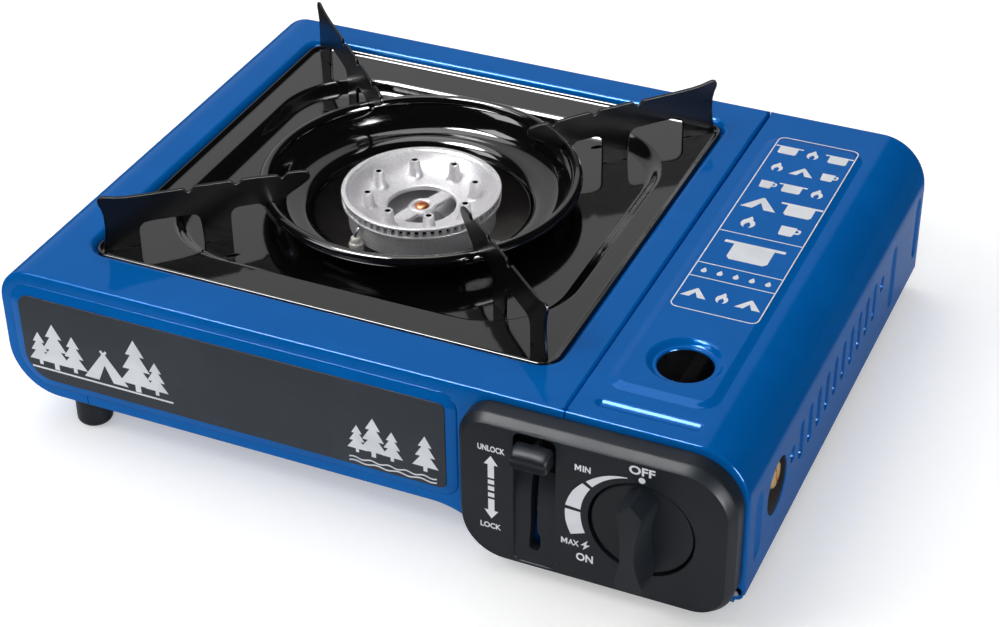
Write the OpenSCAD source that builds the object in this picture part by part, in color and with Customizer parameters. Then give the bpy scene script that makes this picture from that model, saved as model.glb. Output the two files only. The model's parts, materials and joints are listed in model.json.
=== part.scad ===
// Butane cassette stove: a pressed steel casing with a lift-off drip tray and pan support,
// a burner fed from a regulator, and a cartridge bay under a hinged lid.
// Frame: millimetres, X to the right, Y to the back, Z up, table top at z = 0.

/* [Casing] */
// Width of the casing
case_w = 340; // [330:1:360]
// Depth of the casing, without the control panel
case_d = 257; // [250:1:270]
// Height of the top face above the table
case_h = 80; // [78:1:84]
// Thickness of every pressed sheet
sheet = 0.8; // [0.6:0.1:1]
// Underside of the burner section above the table
pan_z = 16.5; // [15:0.5:18]
// Underside of the cartridge section above the table
bay_z = 6.4; // [5:0.2:7]
// Width of the cartridge section, from the joint line to the right wall
bay_w = 77; // [76:0.5:80]
// Joint between the lid and the top casing
lid_gap = 0.6; // [0.4:0.1:0.8]
// Radius of the casing's top left edge
r_top_left = 16; // [12:1:18]
// Radius of the casing's bottom left edge
r_bottom_left = 23; // [18:1:25]
// Radius of the lid's shoulder
r_shoulder = 24; // [20:1:26]
// Radius where the bottom turns down to the cartridge section
r_step = 34; // [30:1:38]
// Distance from the right wall to the start of that turn
step_inset = 136; // [130:1:140]
// Width of the flat band round the front panel
band = 5; // [4:0.5:6]
// Distance from the casing's left side to the seam between casing and bottom pan
seam_inset = 38; // [32:1:44]
// Distance from the joint line to the right end of the front panel
front_col = 45.5; // [44:0.5:50]
// Height of the raised front panel
bevel_h = 1.4; // [1:0.1:2]
// Width of the bevel round the front panel
bevel_w = 5; // [4:0.5:6]
// Thickness of the front label plate
label_t = 0.5; // [0.3:0.1:0.8]

/* [Tray and pan support] */
// Left margin of the tray opening
tray_left = 29; // [26:1:34]
// Margin between the tray opening and the joint line
tray_right = 15; // [12:1:18]
// Front margin of the tray opening
tray_front = 26.5; // [22:0.5:30]
// Back margin of the tray opening
tray_back = 18.5; // [16:0.5:24]
// Corner radius of the tray opening
tray_r = 9; // [7:1:12]
// Depth of the lip round the tray opening
tray_lip = 4; // [3.5:0.1:5]
// Width of the ledge that carries the tray
ledge_w = 6; // [4:1:8]
// Gap between the tray and its opening
tray_gap = 0.7; // [0.5:0.1:1]
// Width of the flat border round the tray's sunk floor
tray_border = 14; // [12:1:18]
// Depth of the sunk floor below the border
tray_sink = 5.3; // [4:0.1:6]
// Corner radius of the sunk floor
sink_r = 42; // [30:1:46]
// Radius of the support ring's rolled rim
ring_r = 72.5; // [71:0.5:74]
// Height of the support ring's rim above the casing's top
ring_rise = 5.8; // [5:0.2:7]
// Radius where the ring's wall meets its floor
ring_floor_r = 62; // [61:0.5:63]
// Radius of the ring's inner lip
ring_lip_r = 52; // [50:0.5:53]
// Distance from the ring's inner lip out to the edge of the tray's centre hole
collar_gap = 5; // [4:0.5:6]
// Radius of the ring's rolled edges
roll_r = 1.4; // [1.2:0.1:1.6]
// Thickness of a pan support arm
arm_t = 1.5; // [1.2:0.1:2]
// Height of the arms' outer tips above the casing's top
arm_tip = 24.6; // [22:0.2:27]
// Height of the arms' top edge above the casing's top
arm_rise = 19; // [17:0.2:20]

/* [Burner] */
// Radius of the burner head
head_r = 36.2; // [34:0.2:38]
// Height of the burner rim below the casing's top
head_drop = 2; // [1:0.2:4]
// Radius of the burner's centre opening
head_hole_r = 16; // [14:0.5:18]
// Radius of the circle of flame posts
post_circle_r = 24.6; // [23.5:0.1:25.5]
// Number of flame posts
post_count = 8; // [6:1:10]
// Height of a flame post
post_h = 7.4; // [6:0.2:8]
// Radius of the burner body's skirt
skirt_r = 33.5; // [32:0.5:34]
// Radius of the mixing tube
mix_r = 8; // [7:0.5:9]
// Length of the mixing tube beyond the burner body
mix_len = 44; // [38:1:50]
// Radius of the gas pipe
pipe_r = 2.5; // [2:0.1:3]

/* [Cartridge and lock] */
// Radius of the gas cartridge
cart_r = 34; // [33:0.5:34.5]
// Length of the gas cartridge with its valve
cart_len = 186; // [180:1:188]
// Free space between the cartridge and the lid's side wall
cart_side = 4.85; // [4:0.1:5.5]
// Free space between the cartridge and the bay floor
cart_under = 0.96; // [0.6:0.1:1.5]
// Radius of the regulator's inlet, which takes the cartridge's valve
inlet_r = 4.2; // [3.8:0.1:5]
// Depth of the inlet
inlet_depth = 14; // [12:1:16]
// Distance from the casing's front to the regulator's inlet face
inlet_y = 60.6; // [58:0.2:64]
// Travel of the lock slider
lock_travel = 36; // [30:1:38]
// Pull of the cartridge fork over that travel
lock_pull = 7.2; // [5:0.2:8]
// Distance of the lock slider's middle below the casing's top when it is up
lock_drop = 15; // [13:1:18]

/* [Controls] */
// Depth of the control panel in front of the casing
panel_t = 12; // [10:0.5:14]
// Wall of the control panel
panel_wall = 2.4; // [2:0.1:3]
// Radius of the opening for the knob
knob_hole_r = 22.26; // [21:0.1:23]
// Gap round the knob
knob_gap = 1; // [0.8:0.1:1.4]
// Reach of the knob's grip in front of the control panel
grip_reach = 15.5; // [13:0.5:18]
// Width of the knob's grip
grip_w = 12.5; // [11:0.5:14]
// Radius of the valve spindle
spindle_r = 4; // [3.5:0.1:4.5]
// Width of the slider's channel in the panel
channel_w = 18.2; // [17:0.2:19]
// Width of the slider's cap
cap_w = 16; // [14:0.2:16.4]
// Height of the slider's cap
cap_h = 9; // [8:0.5:10]

/* [Lid] */
// Height of the pressed field on the lid
field_rise = 1.2; // [0.8:0.1:1.6]
// Radius of the round hole in the lid's top
top_hole_r = 11.8; // [10:0.2:13]
// Radius of the round hole in the lid's side wall
side_hole_r = 11; // [9:0.5:12]
// Number of long louvres in the side wall
louvre_count = 10; // [8:1:10]
// Distance from one louvre to the next
louvre_pitch = 11.9; // [11:0.1:12]
// Height of a long louvre
louvre_h = 18; // [15:0.5:20]
// Radius of the hinge pins
hinge_r = 1.25; // [1:0.05:1.4]

/* [Hidden] */
$fn = 64;
e = 0.01;
front_reach = panel_t + grip_reach;
front_y = -(case_d - front_reach) / 2;
back_y = front_y + case_d;
left_x = -case_w / 2;
right_x = case_w / 2;
split_x = right_x - bay_w;
casing_end = split_x - lid_gap / 2;
lid_start = split_x + lid_gap / 2;
seam_x = left_x + seam_inset;
column_x = split_x - front_col;
step_x = right_x - step_inset;
pan_top = pan_z + sheet;
bay_floor = bay_z + sheet;
inner_top = case_h - sheet;

tray_hole_r = ring_lip_r + collar_gap;
tray_w = casing_end - tray_right - (left_x + tray_left);
tray_d = case_d - tray_front - tray_back;
tray_x = left_x + tray_left + tray_w / 2;
tray_y = front_y + tray_front + tray_d / 2;
ledge_z = case_h - tray_lip;
border_z = ledge_z + sheet;
floor_z = border_z - tray_sink;
rim_z = case_h + ring_rise;
ring_floor_z = floor_z + 3;
lip_z = floor_z - 1;
ring_slope = (ring_floor_z - lip_z) / (ring_floor_r + sheet / 2 - ring_lip_r);
collar_top = lip_z + (tray_hole_r - ring_lip_r) * ring_slope - 0.1;
slot_w = arm_t + 0.5;

head_z = case_h - head_drop;
dish_z = head_z - post_h - 1.6;
burner_low = dish_z - 8;
mix_z = burner_low - 12;
bracket_z = mix_z - mix_r - 1.8;
boss_len = skirt_r - 7.4;
bridge_half = head_hole_r + 3;
stem_r = 14;
mix_end = tray_x + boss_len + mix_len;

cart_x = right_x - sheet - cart_side - cart_r;
cart_z = bay_floor + cart_under + cart_r;
inlet_face = front_y + inlet_y;
bulkhead = 1.6;
plate_y = front_y + bulkhead;
plate_back = plate_y + sheet;
tail_y = back_y - bulkhead;
divider_x = lid_start + sheet + 0.5;
lid_clear = 0.3;
lid_lip = 1.6;
hinge_x = right_x - sheet - 3;
hinge_z = bay_z + 6.2;
ear_r = 2.7;
lid_foot = hinge_z - 0.3;
pan_end = hinge_x - 0.8;

panel_back = front_y - 0.4;
panel_front = front_y - panel_t;
panel_left = column_x + 0.7;
panel_right = right_x - 2;
panel_low = bay_z - 1;
panel_high = case_h - 3;
panel_inset = 4.5;
knob_r = knob_hole_r - knob_gap;
channel_x = panel_left + 37.2;
channel_low = panel_low + 7.8;
channel_high = panel_high - 3.2;
channel_depth = 3;
lock_z = case_h - lock_drop;
lock_low = lock_z - lock_travel;
stem_t = 1.6;
stem_h = 8;
stem_end = front_y + 19;
pin_r = 1.5;
pin_clear = 0.2;
pin_y = front_y + 16.5;
cam_x = divider_x - 5.6;
cam_t = 1.5;
cam_low = lock_low - 8.8;
cam_strip = 10;
fork_y = inlet_face + 9.6;
guide_y = [front_y + 38, front_y + 58];
pipe_y = front_y + 36;
reg_r = 19;
reg_neck_r = 12;
reg_back = inlet_face - 14;
side_port_y = front_y + 34.3;
top_hole_x = cart_x - 5.4;
top_hole_y = front_y + 50.2;
field_margin = 6.5;
field_d = case_d - 42;
field_w = bay_w - r_shoulder - field_margin + 3.5;
field_x = lid_start + field_margin + field_w / 2;
louvre_y = front_y + 68;
louvre_z = case_h * 0.52;
foot_r = 8;
foot_inset = 32.5;
foot_edge = 11.5;
electrode_angle = -118;
electrode_r = skirt_r + 3.4;
electrode_top = head_z - 12;
lead_r = 1;
screw_r = 1.4;
hole_r = screw_r + 0.1;
bracket_half = 27;
bracket_screw_x = [tray_x - bracket_half - 5, tray_x + bracket_half + 5];
bracket_screw_y = [tray_y - 9, tray_y + 9];
cradle_y = [inlet_face + cart_r + 5.4, inlet_face + cart_len - cart_r - 7.6];
cradle_half = cart_r - 6;
cradle_screw_x = [cart_x - cradle_half + 4, cart_x + cradle_half - 4];
cradle_screw_y = [cradle_y[0] + 20, cradle_y[1] - 20];
lead_z = floor_z - sheet - 3.2;
lead_y = front_y + 48;
igniter = [11, 26, 11];
igniter_at = [cart_x - 33.3, plate_back, panel_high - 15 - igniter[2]];

blue = [0.04, 0.36, 0.67];
enamel = [0.06, 0.06, 0.07];
plastic = [0.18, 0.19, 0.20];
steel = [0.70, 0.71, 0.73];
alloy = [0.82, 0.83, 0.84];
brass = [0.80, 0.62, 0.30];

// ---------------------------------------------------------------- helpers

// A flat shape in X and Z, given its thickness along +Y
module in_xz(y, t) {
    translate([0, y + t, 0])
        rotate([90, 0, 0])
            linear_extrude(t) children();
}

// A flat shape in Y and Z, given its thickness along +X
module in_yz(x, t) {
    translate([x, 0, 0])
        rotate([90, 0, 90])
            linear_extrude(t) children();
}

// Rounded rectangle about the origin
module rrect(w, h, r) {
    square([w - 2 * r, h], center = true);
    square([w, h - 2 * r], center = true);
    for (sx = [-1, 1], sy = [-1, 1])
        translate([sx * (w / 2 - r), sy * (h / 2 - r)])
            circle(r);
}

// What a rounded corner of radius r leaves outside itself, towards +X and +Y
module corner_trim(r) {
    difference() {
        square(r + 2);
        circle(r);
    }
}

// Rectangle from low to high with its own radius at each corner
module corner_rect(low, high, top_left, top_right, bottom_left, bottom_right) {
    difference() {
        translate(low)
            square(high - low);
        translate([low[0] + top_left, high[1] - top_left])
            mirror([1, 0])
                corner_trim(top_left);
        translate([high[0] - top_right, high[1] - top_right])
            corner_trim(top_right);
        translate([low[0] + bottom_left, low[1] + bottom_left])
            rotate(180)
                corner_trim(bottom_left);
        translate([high[0] - bottom_right, low[1] + bottom_right])
            mirror([0, 1])
                corner_trim(bottom_right);
    }
}

// Slot with round ends from a to b, built of two circles and a turned bar
module slot_2d(a, b, r) {
    run = b - a;
    translate(a)
        circle(r);
    translate(b)
        circle(r);
    translate(a)
        rotate(atan2(run[1], run[0]))
            translate([0, -r])
                square([norm(run), 2 * r]);
}

// Bent rod through a list of points
module rod(points, r) {
    for (i = [0:len(points) - 2]) {
        run = points[i + 1] - points[i];
        translate(points[i])
            rotate([0, acos(run[2] / norm(run)), atan2(run[1], run[0])])
                cylinder(r = r, h = norm(run), $fn = 24);
    }
    for (i = [1:len(points) - 2])
        translate(points[i])
            sphere(r, $fn = 24);
}

// Pan head screw along +Z, its head's underside at the origin
module screw(r, shank) {
    cylinder(r = r, h = shank, $fn = 24);
    translate([0, 0, -1.6])
        cylinder(r = 2 * r, h = 1.6, $fn = 24);
}

// ---------------------------------------------------------------- casing

// Front elevation of the whole casing, drawn in by inset
module case_outline(inset = 0) {
    corner_rect([left_x + inset, pan_z + inset], [right_x - inset, case_h - inset],
        r_top_left - inset, r_shoulder - inset, r_bottom_left - inset, 0.5);
    difference() {
        translate([step_x, bay_z + inset])
            square([right_x - inset - step_x, case_h / 2 - bay_z]);
        translate([step_x, pan_z - r_step])
            circle(r_step + inset);
    }
}

module casing_sheet() {
    difference() {
        case_outline();
        case_outline(sheet);
    }
}

// Opening in the casing's front wall, drawn in by inset
module front_opening(inset = 0) {
    corner_rect([left_x + band + inset, pan_z + band + inset],
        [column_x - inset, case_h - band - 0.5 - inset],
        r_top_left - band - inset, 8 - inset, r_bottom_left - band - inset, 8 - inset);
}

module tray_opening(grow = 0) {
    translate([tray_x, tray_y])
        rrect(tray_w + 2 * grow, tray_d + 2 * grow, tray_r + grow);
}

module top_casing() {
    color(blue) {
        difference() {
            union() {
                in_xz(front_y, case_d)
                    intersection() {
                        casing_sheet();
                        union() {
                            translate([left_x, case_h / 2])
                                square([casing_end - left_x, case_h]);
                            translate([left_x, 0])
                                square([seam_inset, case_h]);
                        }
                    }
                for (y = [front_y, back_y - sheet])
                    in_xz(y, sheet)
                        intersection() {
                            case_outline();
                            translate([left_x, 0])
                                square([casing_end - left_x, case_h]);
                        }
                translate([0, 0, case_h - tray_lip])
                    linear_extrude(tray_lip)
                        tray_opening(sheet);
            }
            in_xz(front_y - e, sheet + 2 * e)
                front_opening();
            in_xz(front_y - e, sheet + 2 * e)
                translate([seam_x, 0])
                    square([column_x - seam_x, pan_z + band + 8]);
            translate([0, 0, ledge_z])
                linear_extrude(case_h)
                    tray_opening();
            in_xz(front_y - e, sheet + 2 * e) {
                slot_2d([channel_x, lock_z], [channel_x, lock_low], stem_h / 2 + 0.8);
                for (p = panel_bosses_left)
                    translate(p)
                        circle(1.35);
            }
        }
        translate([0, 0, ledge_z - sheet])
            linear_extrude(sheet)
                difference() {
                    tray_opening(sheet);
                    tray_opening(-ledge_w);
                }
    }
}

module base_pan() {
    color(blue)
        difference() {
            pan_sheets();
            for (x = bracket_screw_x, y = bracket_screw_y)
                translate([x, y, pan_z - 1])
                    cylinder(r = hole_r, h = 4, $fn = 24);
            for (x = cradle_screw_x, y = cradle_screw_y)
                translate([x, y, bay_z - 1])
                    cylinder(r = hole_r, h = 4, $fn = 24);
        }
}

module pan_sheets() {
    in_xz(front_y + sheet, case_d - 2 * sheet)
        intersection() {
            casing_sheet();
            translate([seam_x, 0])
                square([casing_end - seam_x, pan_top]);
        }
    in_xz(plate_y, tail_y - plate_y)
        translate([casing_end - e, bay_z])
            square([pan_end - casing_end, sheet]);
    in_xz(plate_back + 1.5, tail_y - plate_back - sheet - 3)
        translate([pan_end - sheet, bay_z])
            square([sheet, 9]);
    in_xz(front_y, sheet + e)
        difference() {
            intersection() {
                case_outline();
                translate([seam_x + 0.3, 0])
                    square([column_x - seam_x - 0.3, pan_z + band + 8]);
            }
            front_opening();
        }
}

module front_panel() {
    color(blue) {
        in_xz(front_y + sheet, sheet)
            corner_rect([left_x + sheet + 0.3, pan_top + 0.2], [column_x + band, inner_top - 0.3],
                r_top_left - sheet, 4, r_bottom_left - sheet, 4);
        hull() {
            in_xz(front_y, sheet)
                front_opening(0.3, $fn = 32);
            in_xz(front_y - bevel_h, sheet)
                front_opening(bevel_w, $fn = 32);
        }
    }
}

module front_label() {
    color(plastic)
        in_xz(front_y - bevel_h - label_t, label_t)
            front_opening(bevel_w + 0.3);
}

module foot(x, y, top) {
    translate([x, y, 0])
        rotate_extrude()
            difference() {
                square([foot_r, top]);
                translate([foot_r - 3, 3])
                    mirror([0, 1])
                        corner_trim(3);
            }
}

module tall_feet() {
    color(plastic)
        for (y = [front_y + foot_edge, back_y - foot_edge])
            foot(left_x + foot_inset, y, pan_z);
}

module short_feet() {
    color(plastic)
        for (y = [front_y + foot_edge, back_y - foot_edge])
            foot(cart_x + cart_r / 2, y, bay_z);
}

// ---------------------------------------------------------------- cartridge bay

module bay_divider() {
    color(steel)
        in_yz(divider_x, sheet)
            difference() {
                translate([plate_back, bay_floor])
                    square([tail_y - sheet - plate_back, inner_top - lid_lip - 2 * lid_clear - bay_floor]);
                translate([fork_y - lock_pull - 2, cam_low - 2])
                    square([lock_pull + 5.5, cam_strip + 4]);
                translate([pipe_y, mix_z])
                    circle(pipe_r + 1);
                translate([lead_y, lead_z])
                    circle(lead_r + 1);
                for (y = [cradle_y[0] + 10:22:tail_y - cart_r])
                    slot_2d([y, cart_z - 8], [y, cart_z + 8], 3);
            }
}

// Flat end of the bay, with ears for the lid's hinge pins
module bay_end() {
    difference() {
        union() {
            corner_rect([casing_end + 0.3, bay_floor], [hinge_x - ear_r, inner_top - lid_clear],
                0.5, r_shoulder, 0.5, 0.5);
            translate([hinge_x - ear_r - 1, bay_floor])
                square([ear_r + 1 - 0.6, hinge_z + ear_r - bay_floor]);
            translate([hinge_x, hinge_z])
                circle(ear_r);
        }
        translate([hinge_x, hinge_z])
            circle(hinge_r);
    }
}

module bay_front_plate() {
    color(blue)
        in_xz(plate_y, sheet)
            difference() {
                bay_end();
                translate([cart_x, cart_z])
                    circle(spindle_r + 1);
                for (sz = [-1, 1])
                    translate([cart_x, cart_z + sz * (reg_r - 3)])
                        circle(1.3);
                for (p = panel_bosses_right)
                    translate(p)
                        circle(1.3);
            }
}

module bay_back_plate() {
    color(blue)
        in_xz(tail_y - sheet, sheet)
            bay_end();
}

module cartridge_cradle() {
    color(steel)
        difference() {
            union() {
                for (y = cradle_y)
                    in_xz(y, 1.2)
                        difference() {
                            translate([cart_x - cradle_half, bay_floor])
                                square([2 * cradle_half, 11]);
                            translate([cart_x, cart_z])
                                circle(cart_r + 0.4);
                            translate([cart_x - 8, bay_floor - 1])
                                square([16, 4]);
                        }
                for (x = cradle_screw_x)
                    translate([x - 4, cradle_y[0], bay_floor])
                        cube([8, cradle_y[1] - cradle_y[0] + 1.2, sheet]);
            }
            for (x = cradle_screw_x, y = cradle_screw_y)
                translate([x, y, bay_z])
                    cylinder(r = hole_r, h = 4, $fn = 24);
        }
}

// ---------------------------------------------------------------- lid

module lid_flange() {
    difference() {
        intersection() {
            case_outline();
            translate([lid_start, lid_foot])
                square([right_x, case_h]);
        }
        corner_rect([lid_start - 9, lid_foot - 9], [right_x - 6, case_h - 6],
            0.5, r_shoulder - 6, 0.5, 0.5);
    }
    difference() {
        translate([hinge_x, hinge_z])
            circle(ear_r + 0.6);
        translate([hinge_x, hinge_z])
            circle(hinge_r + 0.05);
        translate([right_x, 0])
            square([9, case_h]);
    }
}

module lid_field(grow, z, h) {
    translate([field_x, front_y + case_d / 2, z])
        linear_extrude(h)
            rrect(field_w + 2 * grow, field_d + 2 * grow, 5 + grow);
}

module cartridge_lid() {
    color(blue)
        difference() {
            union() {
                difference() {
                    in_xz(front_y, case_d)
                        intersection() {
                            casing_sheet();
                            translate([lid_start, lid_foot])
                                square([right_x, case_h]);
                        }
                    lid_field(0, inner_top - e, sheet + 1);
                }
                lid_field(sheet, case_h - e, field_rise);
                for (y = [front_y, back_y - sheet])
                    in_xz(y, sheet)
                        lid_flange();
                translate([lid_start, front_y + 4, inner_top - lid_lip])
                    cube([sheet, case_d - 8, lid_lip + e]);
            }
            lid_field(0, inner_top - 2 * e, field_rise);
            translate([top_hole_x, top_hole_y, inner_top - 1])
                cylinder(r = top_hole_r, h = field_rise + 3);
            translate([right_x - sheet - 1, side_port_y, cart_z])
                rotate([0, 90, 0])
                    cylinder(r = side_hole_r, h = sheet + 2);
            for (i = [-1:louvre_count])
                in_yz(right_x - sheet - 1, sheet + 2)
                    slot_2d([louvre_y + i * louvre_pitch, louvre_z - louvre_half(i)],
                        [louvre_y + i * louvre_pitch, louvre_z + louvre_half(i)], 1);
            for (y = [front_y, back_y - sheet])
                translate([hinge_x, y - 1, hinge_z])
                    rotate([-90, 0, 0])
                        cylinder(r = hinge_r + 0.05, h = sheet + 2, $fn = 32);
        }
}

// Half of a louvre's straight length: the first and the last are short
function louvre_half(i) = (i < 0 || i == louvre_count) ? louvre_h / 8 : louvre_h / 2 - 1;

module lid_hinge_pins() {
    color(steel) {
        translate([hinge_x, front_y - 0.3, hinge_z])
            rotate([-90, 0, 0])
                cylinder(r = hinge_r, h = bulkhead + sheet + 1.3, $fn = 32);
        translate([hinge_x, back_y, hinge_z])
            rotate([90, 0, 0])
                cylinder(r = hinge_r, h = bulkhead + sheet + 1, $fn = 32);
    }
}

// ---------------------------------------------------------------- tray and pan support

sink_w = tray_w - 2 * tray_border + 3;
sink_d = tray_d - 2 * tray_border - 10;
arm_angle = atan2(tray_d, tray_w);
arm_reach = norm([tray_w, tray_d]) / 2;
foot_out = arm_reach - 7;
foot_in = foot_out - 16.5;
leg_out = foot_out - 44.5;
leg_in = leg_out - 13;
tab_w = 8;

module tray_sunk(grow, z, h) {
    translate([tray_x, tray_y, z])
        linear_extrude(h)
            rrect(sink_w + 2 * grow, sink_d + 2 * grow, sink_r + grow);
}

// Places a shape along each arm's radial line
module at_arm(angle) {
    translate([tray_x, tray_y, 0])
        rotate(angle)
            children();
}

module drip_tray() {
    edge = -tray_gap;
    color(enamel)
        difference() {
            union() {
                difference() {
                    translate([0, 0, ledge_z])
                        linear_extrude(tray_lip - 1.4)
                            tray_opening(edge);
                    translate([0, 0, border_z])
                        linear_extrude(tray_lip)
                            tray_opening(edge - sheet);
                    tray_sunk(0, floor_z - 1, tray_lip + tray_sink + 2);
                }
                difference() {
                    tray_sunk(0, floor_z - sheet, tray_sink + sheet);
                    tray_sunk(-sheet, floor_z, tray_sink + 1);
                }
                difference() {
                    tray_sunk(0, ledge_z - e, sheet + e);
                    tray_sunk(-sheet, ledge_z - 1, sheet + 2);
                }
                translate([tray_x, tray_y, floor_z - sheet])
                    cylinder(r = tray_hole_r + sheet, h = collar_top - floor_z + sheet);
            }
            translate([tray_x, tray_y, floor_z - 3])
                cylinder(r = tray_hole_r, h = 9);
            for (a = arm_angles)
                at_arm(a)
                    for (s = [(leg_in + leg_out) / 2, (foot_in + foot_out) / 2])
                        translate([s, 0, floor_z])
                            cube([tab_w + 0.6, slot_w, 20], center = true);
        }
}

// Rolled edge round the ring
module ring_roll(r, z, roll) {
    rotate_extrude()
        translate([r, z])
            circle(roll, $fn = 32);
}

module support_ring() {
    half = sheet / 2;
    color(enamel)
        translate([tray_x, tray_y, 0])
            union() {
                rotate_extrude()
                    polygon([[ring_r - roll_r - half, rim_z - roll_r], [ring_r - roll_r + half, rim_z - roll_r],
                        [ring_floor_r + half, ring_floor_z], [ring_lip_r, lip_z],
                        [ring_lip_r, lip_z + sheet], [ring_floor_r - half, ring_floor_z + sheet]]);
                ring_roll(ring_r - roll_r, rim_z - roll_r, roll_r);
                ring_roll(ring_lip_r, lip_z + half, roll_r * 0.7);
            }
}

arm_angles = [180 + arm_angle, -arm_angle, 180 - arm_angle, arm_angle];

// Side view of an arm: distance from the burner's axis, height
module arm_profile() {
    top = case_h + arm_rise;
    inner = ring_r - 21.3;
    tip = case_h + arm_tip;
    notches = [ring_r - 9.5, ring_r + 11.8, ring_r + 33];
    difference() {
        union() {
            polygon([[inner + 1, top - 1.6], [inner + 0.6, top - 4.6], [ring_r - 8.5, rim_z + 1],
                [ring_r - 6, rim_z - 4], [ring_r - 3.4, rim_z - 4], [ring_r - 3.4, rim_z + 0.05],
                [leg_in - 3, rim_z + 0.5], [leg_in, rim_z - 2.5], [leg_in, floor_z],
                [leg_out, floor_z], [leg_out + 0.6, rim_z - 3], [leg_out + 3.5, rim_z + 1.2],
                [foot_in - 4, rim_z + 2.2], [foot_in - 0.8, rim_z + 0.8], [foot_in, border_z],
                [foot_out, border_z], [foot_out - 1.9, case_h + 8], [foot_out - 1.6, case_h + 14.5],
                [foot_out + 0.5, tip - 3.2], [foot_out - 2.2, tip], [foot_out - 7.5, top + 3],
                [ring_r + 36, top + 1.6], [ring_r - 7, top], [inner + 3, top]]);
            translate([foot_out - 2.1, tip - 2.6])
                circle(2.6, $fn = 32);
            translate([inner + 2.2, top - 2.6])
                circle(2.6, $fn = 32);
            for (s = [(leg_in + leg_out) / 2, (foot_in + foot_out) / 2])
                translate([s - tab_w / 2, floor_z - 5])
                    square([tab_w, tray_sink + 6]);
        }
        for (s = notches)
            translate([s, top + 1.1])
                circle(2.8, $fn = 32);
    }
}

module arm(angle) {
    color(enamel)
        at_arm(angle)
            rotate([90, 0, 0])
                linear_extrude(arm_t, center = true)
                    arm_profile();
}

module front_left_arm() {
    arm(arm_angles[0]);
}

module front_right_arm() {
    arm(arm_angles[1]);
}

module back_left_arm() {
    arm(arm_angles[2]);
}

module back_right_arm() {
    arm(arm_angles[3]);
}

// ---------------------------------------------------------------- burner

module at_burner(z = 0) {
    translate([tray_x, tray_y, z])
        children();
}

module burner_head() {
    color(alloy)
        at_burner()
            difference() {
                union() {
                    rotate_extrude()
                        polygon([[head_hole_r, dish_z], [head_r - 3, head_z - 1], [head_r - 2.4, head_z],
                            [head_r, head_z], [head_r, head_z - 1.4], [skirt_r - 1.5, head_z - 1.6],
                            [skirt_r - 1.5, head_z - 4.4], [head_r, head_z - 4.6],
                            [head_r, head_z - 5.8], [skirt_r + 1, head_z - 6], [skirt_r - 2.8, head_z - 6],
                            [head_hole_r, dish_z - 2]]);
                    for (i = [0:post_count - 1])
                        rotate(33 + i * 360 / post_count)
                            translate([post_circle_r, 0, head_z - post_h])
                                cylinder(r1 = 3.5, r2 = 2.3, h = post_h, $fn = 32);
                }
                for (i = [0:post_count - 1])
                    rotate(33 + i * 360 / post_count)
                        translate([post_circle_r, 0, dish_z - 3])
                            cylinder(r = 1.3, h = post_h + 12, $fn = 24);
            }
}

module burner_body() {
    color(alloy)
        at_burner()
            difference() {
                union() {
                    rotate_extrude()
                        polygon([[0, bracket_z], [stem_r, bracket_z], [stem_r, burner_low - 4], [skirt_r, burner_low],
                            [skirt_r, head_z - 6], [skirt_r - 2.5, head_z - 6], [skirt_r - 2.5, burner_low + 1],
                            [10, burner_low - 1], [10, mix_z - mix_r + 1.5], [0, mix_z - mix_r + 1.5]]);
                    translate([0, 0, mix_z])
                        rotate([0, 90, 0])
                            cylinder(r = mix_r + 0.6, h = boss_len);
                }
                translate([0, 0, mix_z])
                    rotate([0, 90, 0])
                        cylinder(r = mix_r - 1.5, h = boss_len + 1);
                translate([0, 0, mix_z - mix_r + 1.5])
                    cylinder(r = 10, h = 2 * mix_r);
                for (sy = [-1, 1])
                    translate([0, sy * 11.7, bracket_z - 1])
                        cylinder(r = 1.3, h = 5, $fn = 24);
            }
}

// Cross bar over the burner's centre opening
module burner_bridge() {
    color(alloy)
        at_burner(dish_z - 2)
            rotate(70)
                difference() {
                    union() {
                        translate([-bridge_half, -3.3, -2.1])
                            cube([2 * bridge_half, 6.6, 2]);
                        translate([0, 0, -2.1])
                            cylinder(r = 6.4, h = 3.1);
                    }
                    translate([0, 0, -3])
                        cylinder(r = 1.5, h = 6, $fn = 24);
                }
}

module bridge_screw() {
    color([0.78, 0.45, 0.28])
        at_burner(dish_z - 2 + 1)
            rotate([180, 0, 0])
                screw(1.4, 5);
}

module burner_bracket() {
    half = bracket_half;
    color(steel)
        difference() {
            union() {
                translate([tray_x - half, tray_y - 14, bracket_z - 1.5])
                    cube([2 * half, 28, 1.5]);
                for (sx = [-1, 1]) {
                    translate([tray_x + sx * (half - 0.75) - 0.75, tray_y - 14, pan_top])
                        cube([1.5, 28, bracket_z - pan_top]);
                    translate([tray_x + sx * (half + 5) - 6, tray_y - 14, pan_top])
                        cube([12, 28, 1.5]);
                }
            }
            for (sy = [-1, 1])
                at_burner(bracket_z - 3)
                    translate([0, sy * 11.7, 0])
                        cylinder(r = 1.6, h = 5, $fn = 24);
            for (x = bracket_screw_x, y = bracket_screw_y)
                translate([x, y, pan_z])
                    cylinder(r = hole_r, h = 4, $fn = 24);
        }
}

module burner_screws() {
    color(steel)
        for (sy = [-1, 1])
            at_burner(bracket_z - 1.5)
                translate([0, sy * 11.7, 0])
                    screw(1.25, 5);
}

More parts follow.
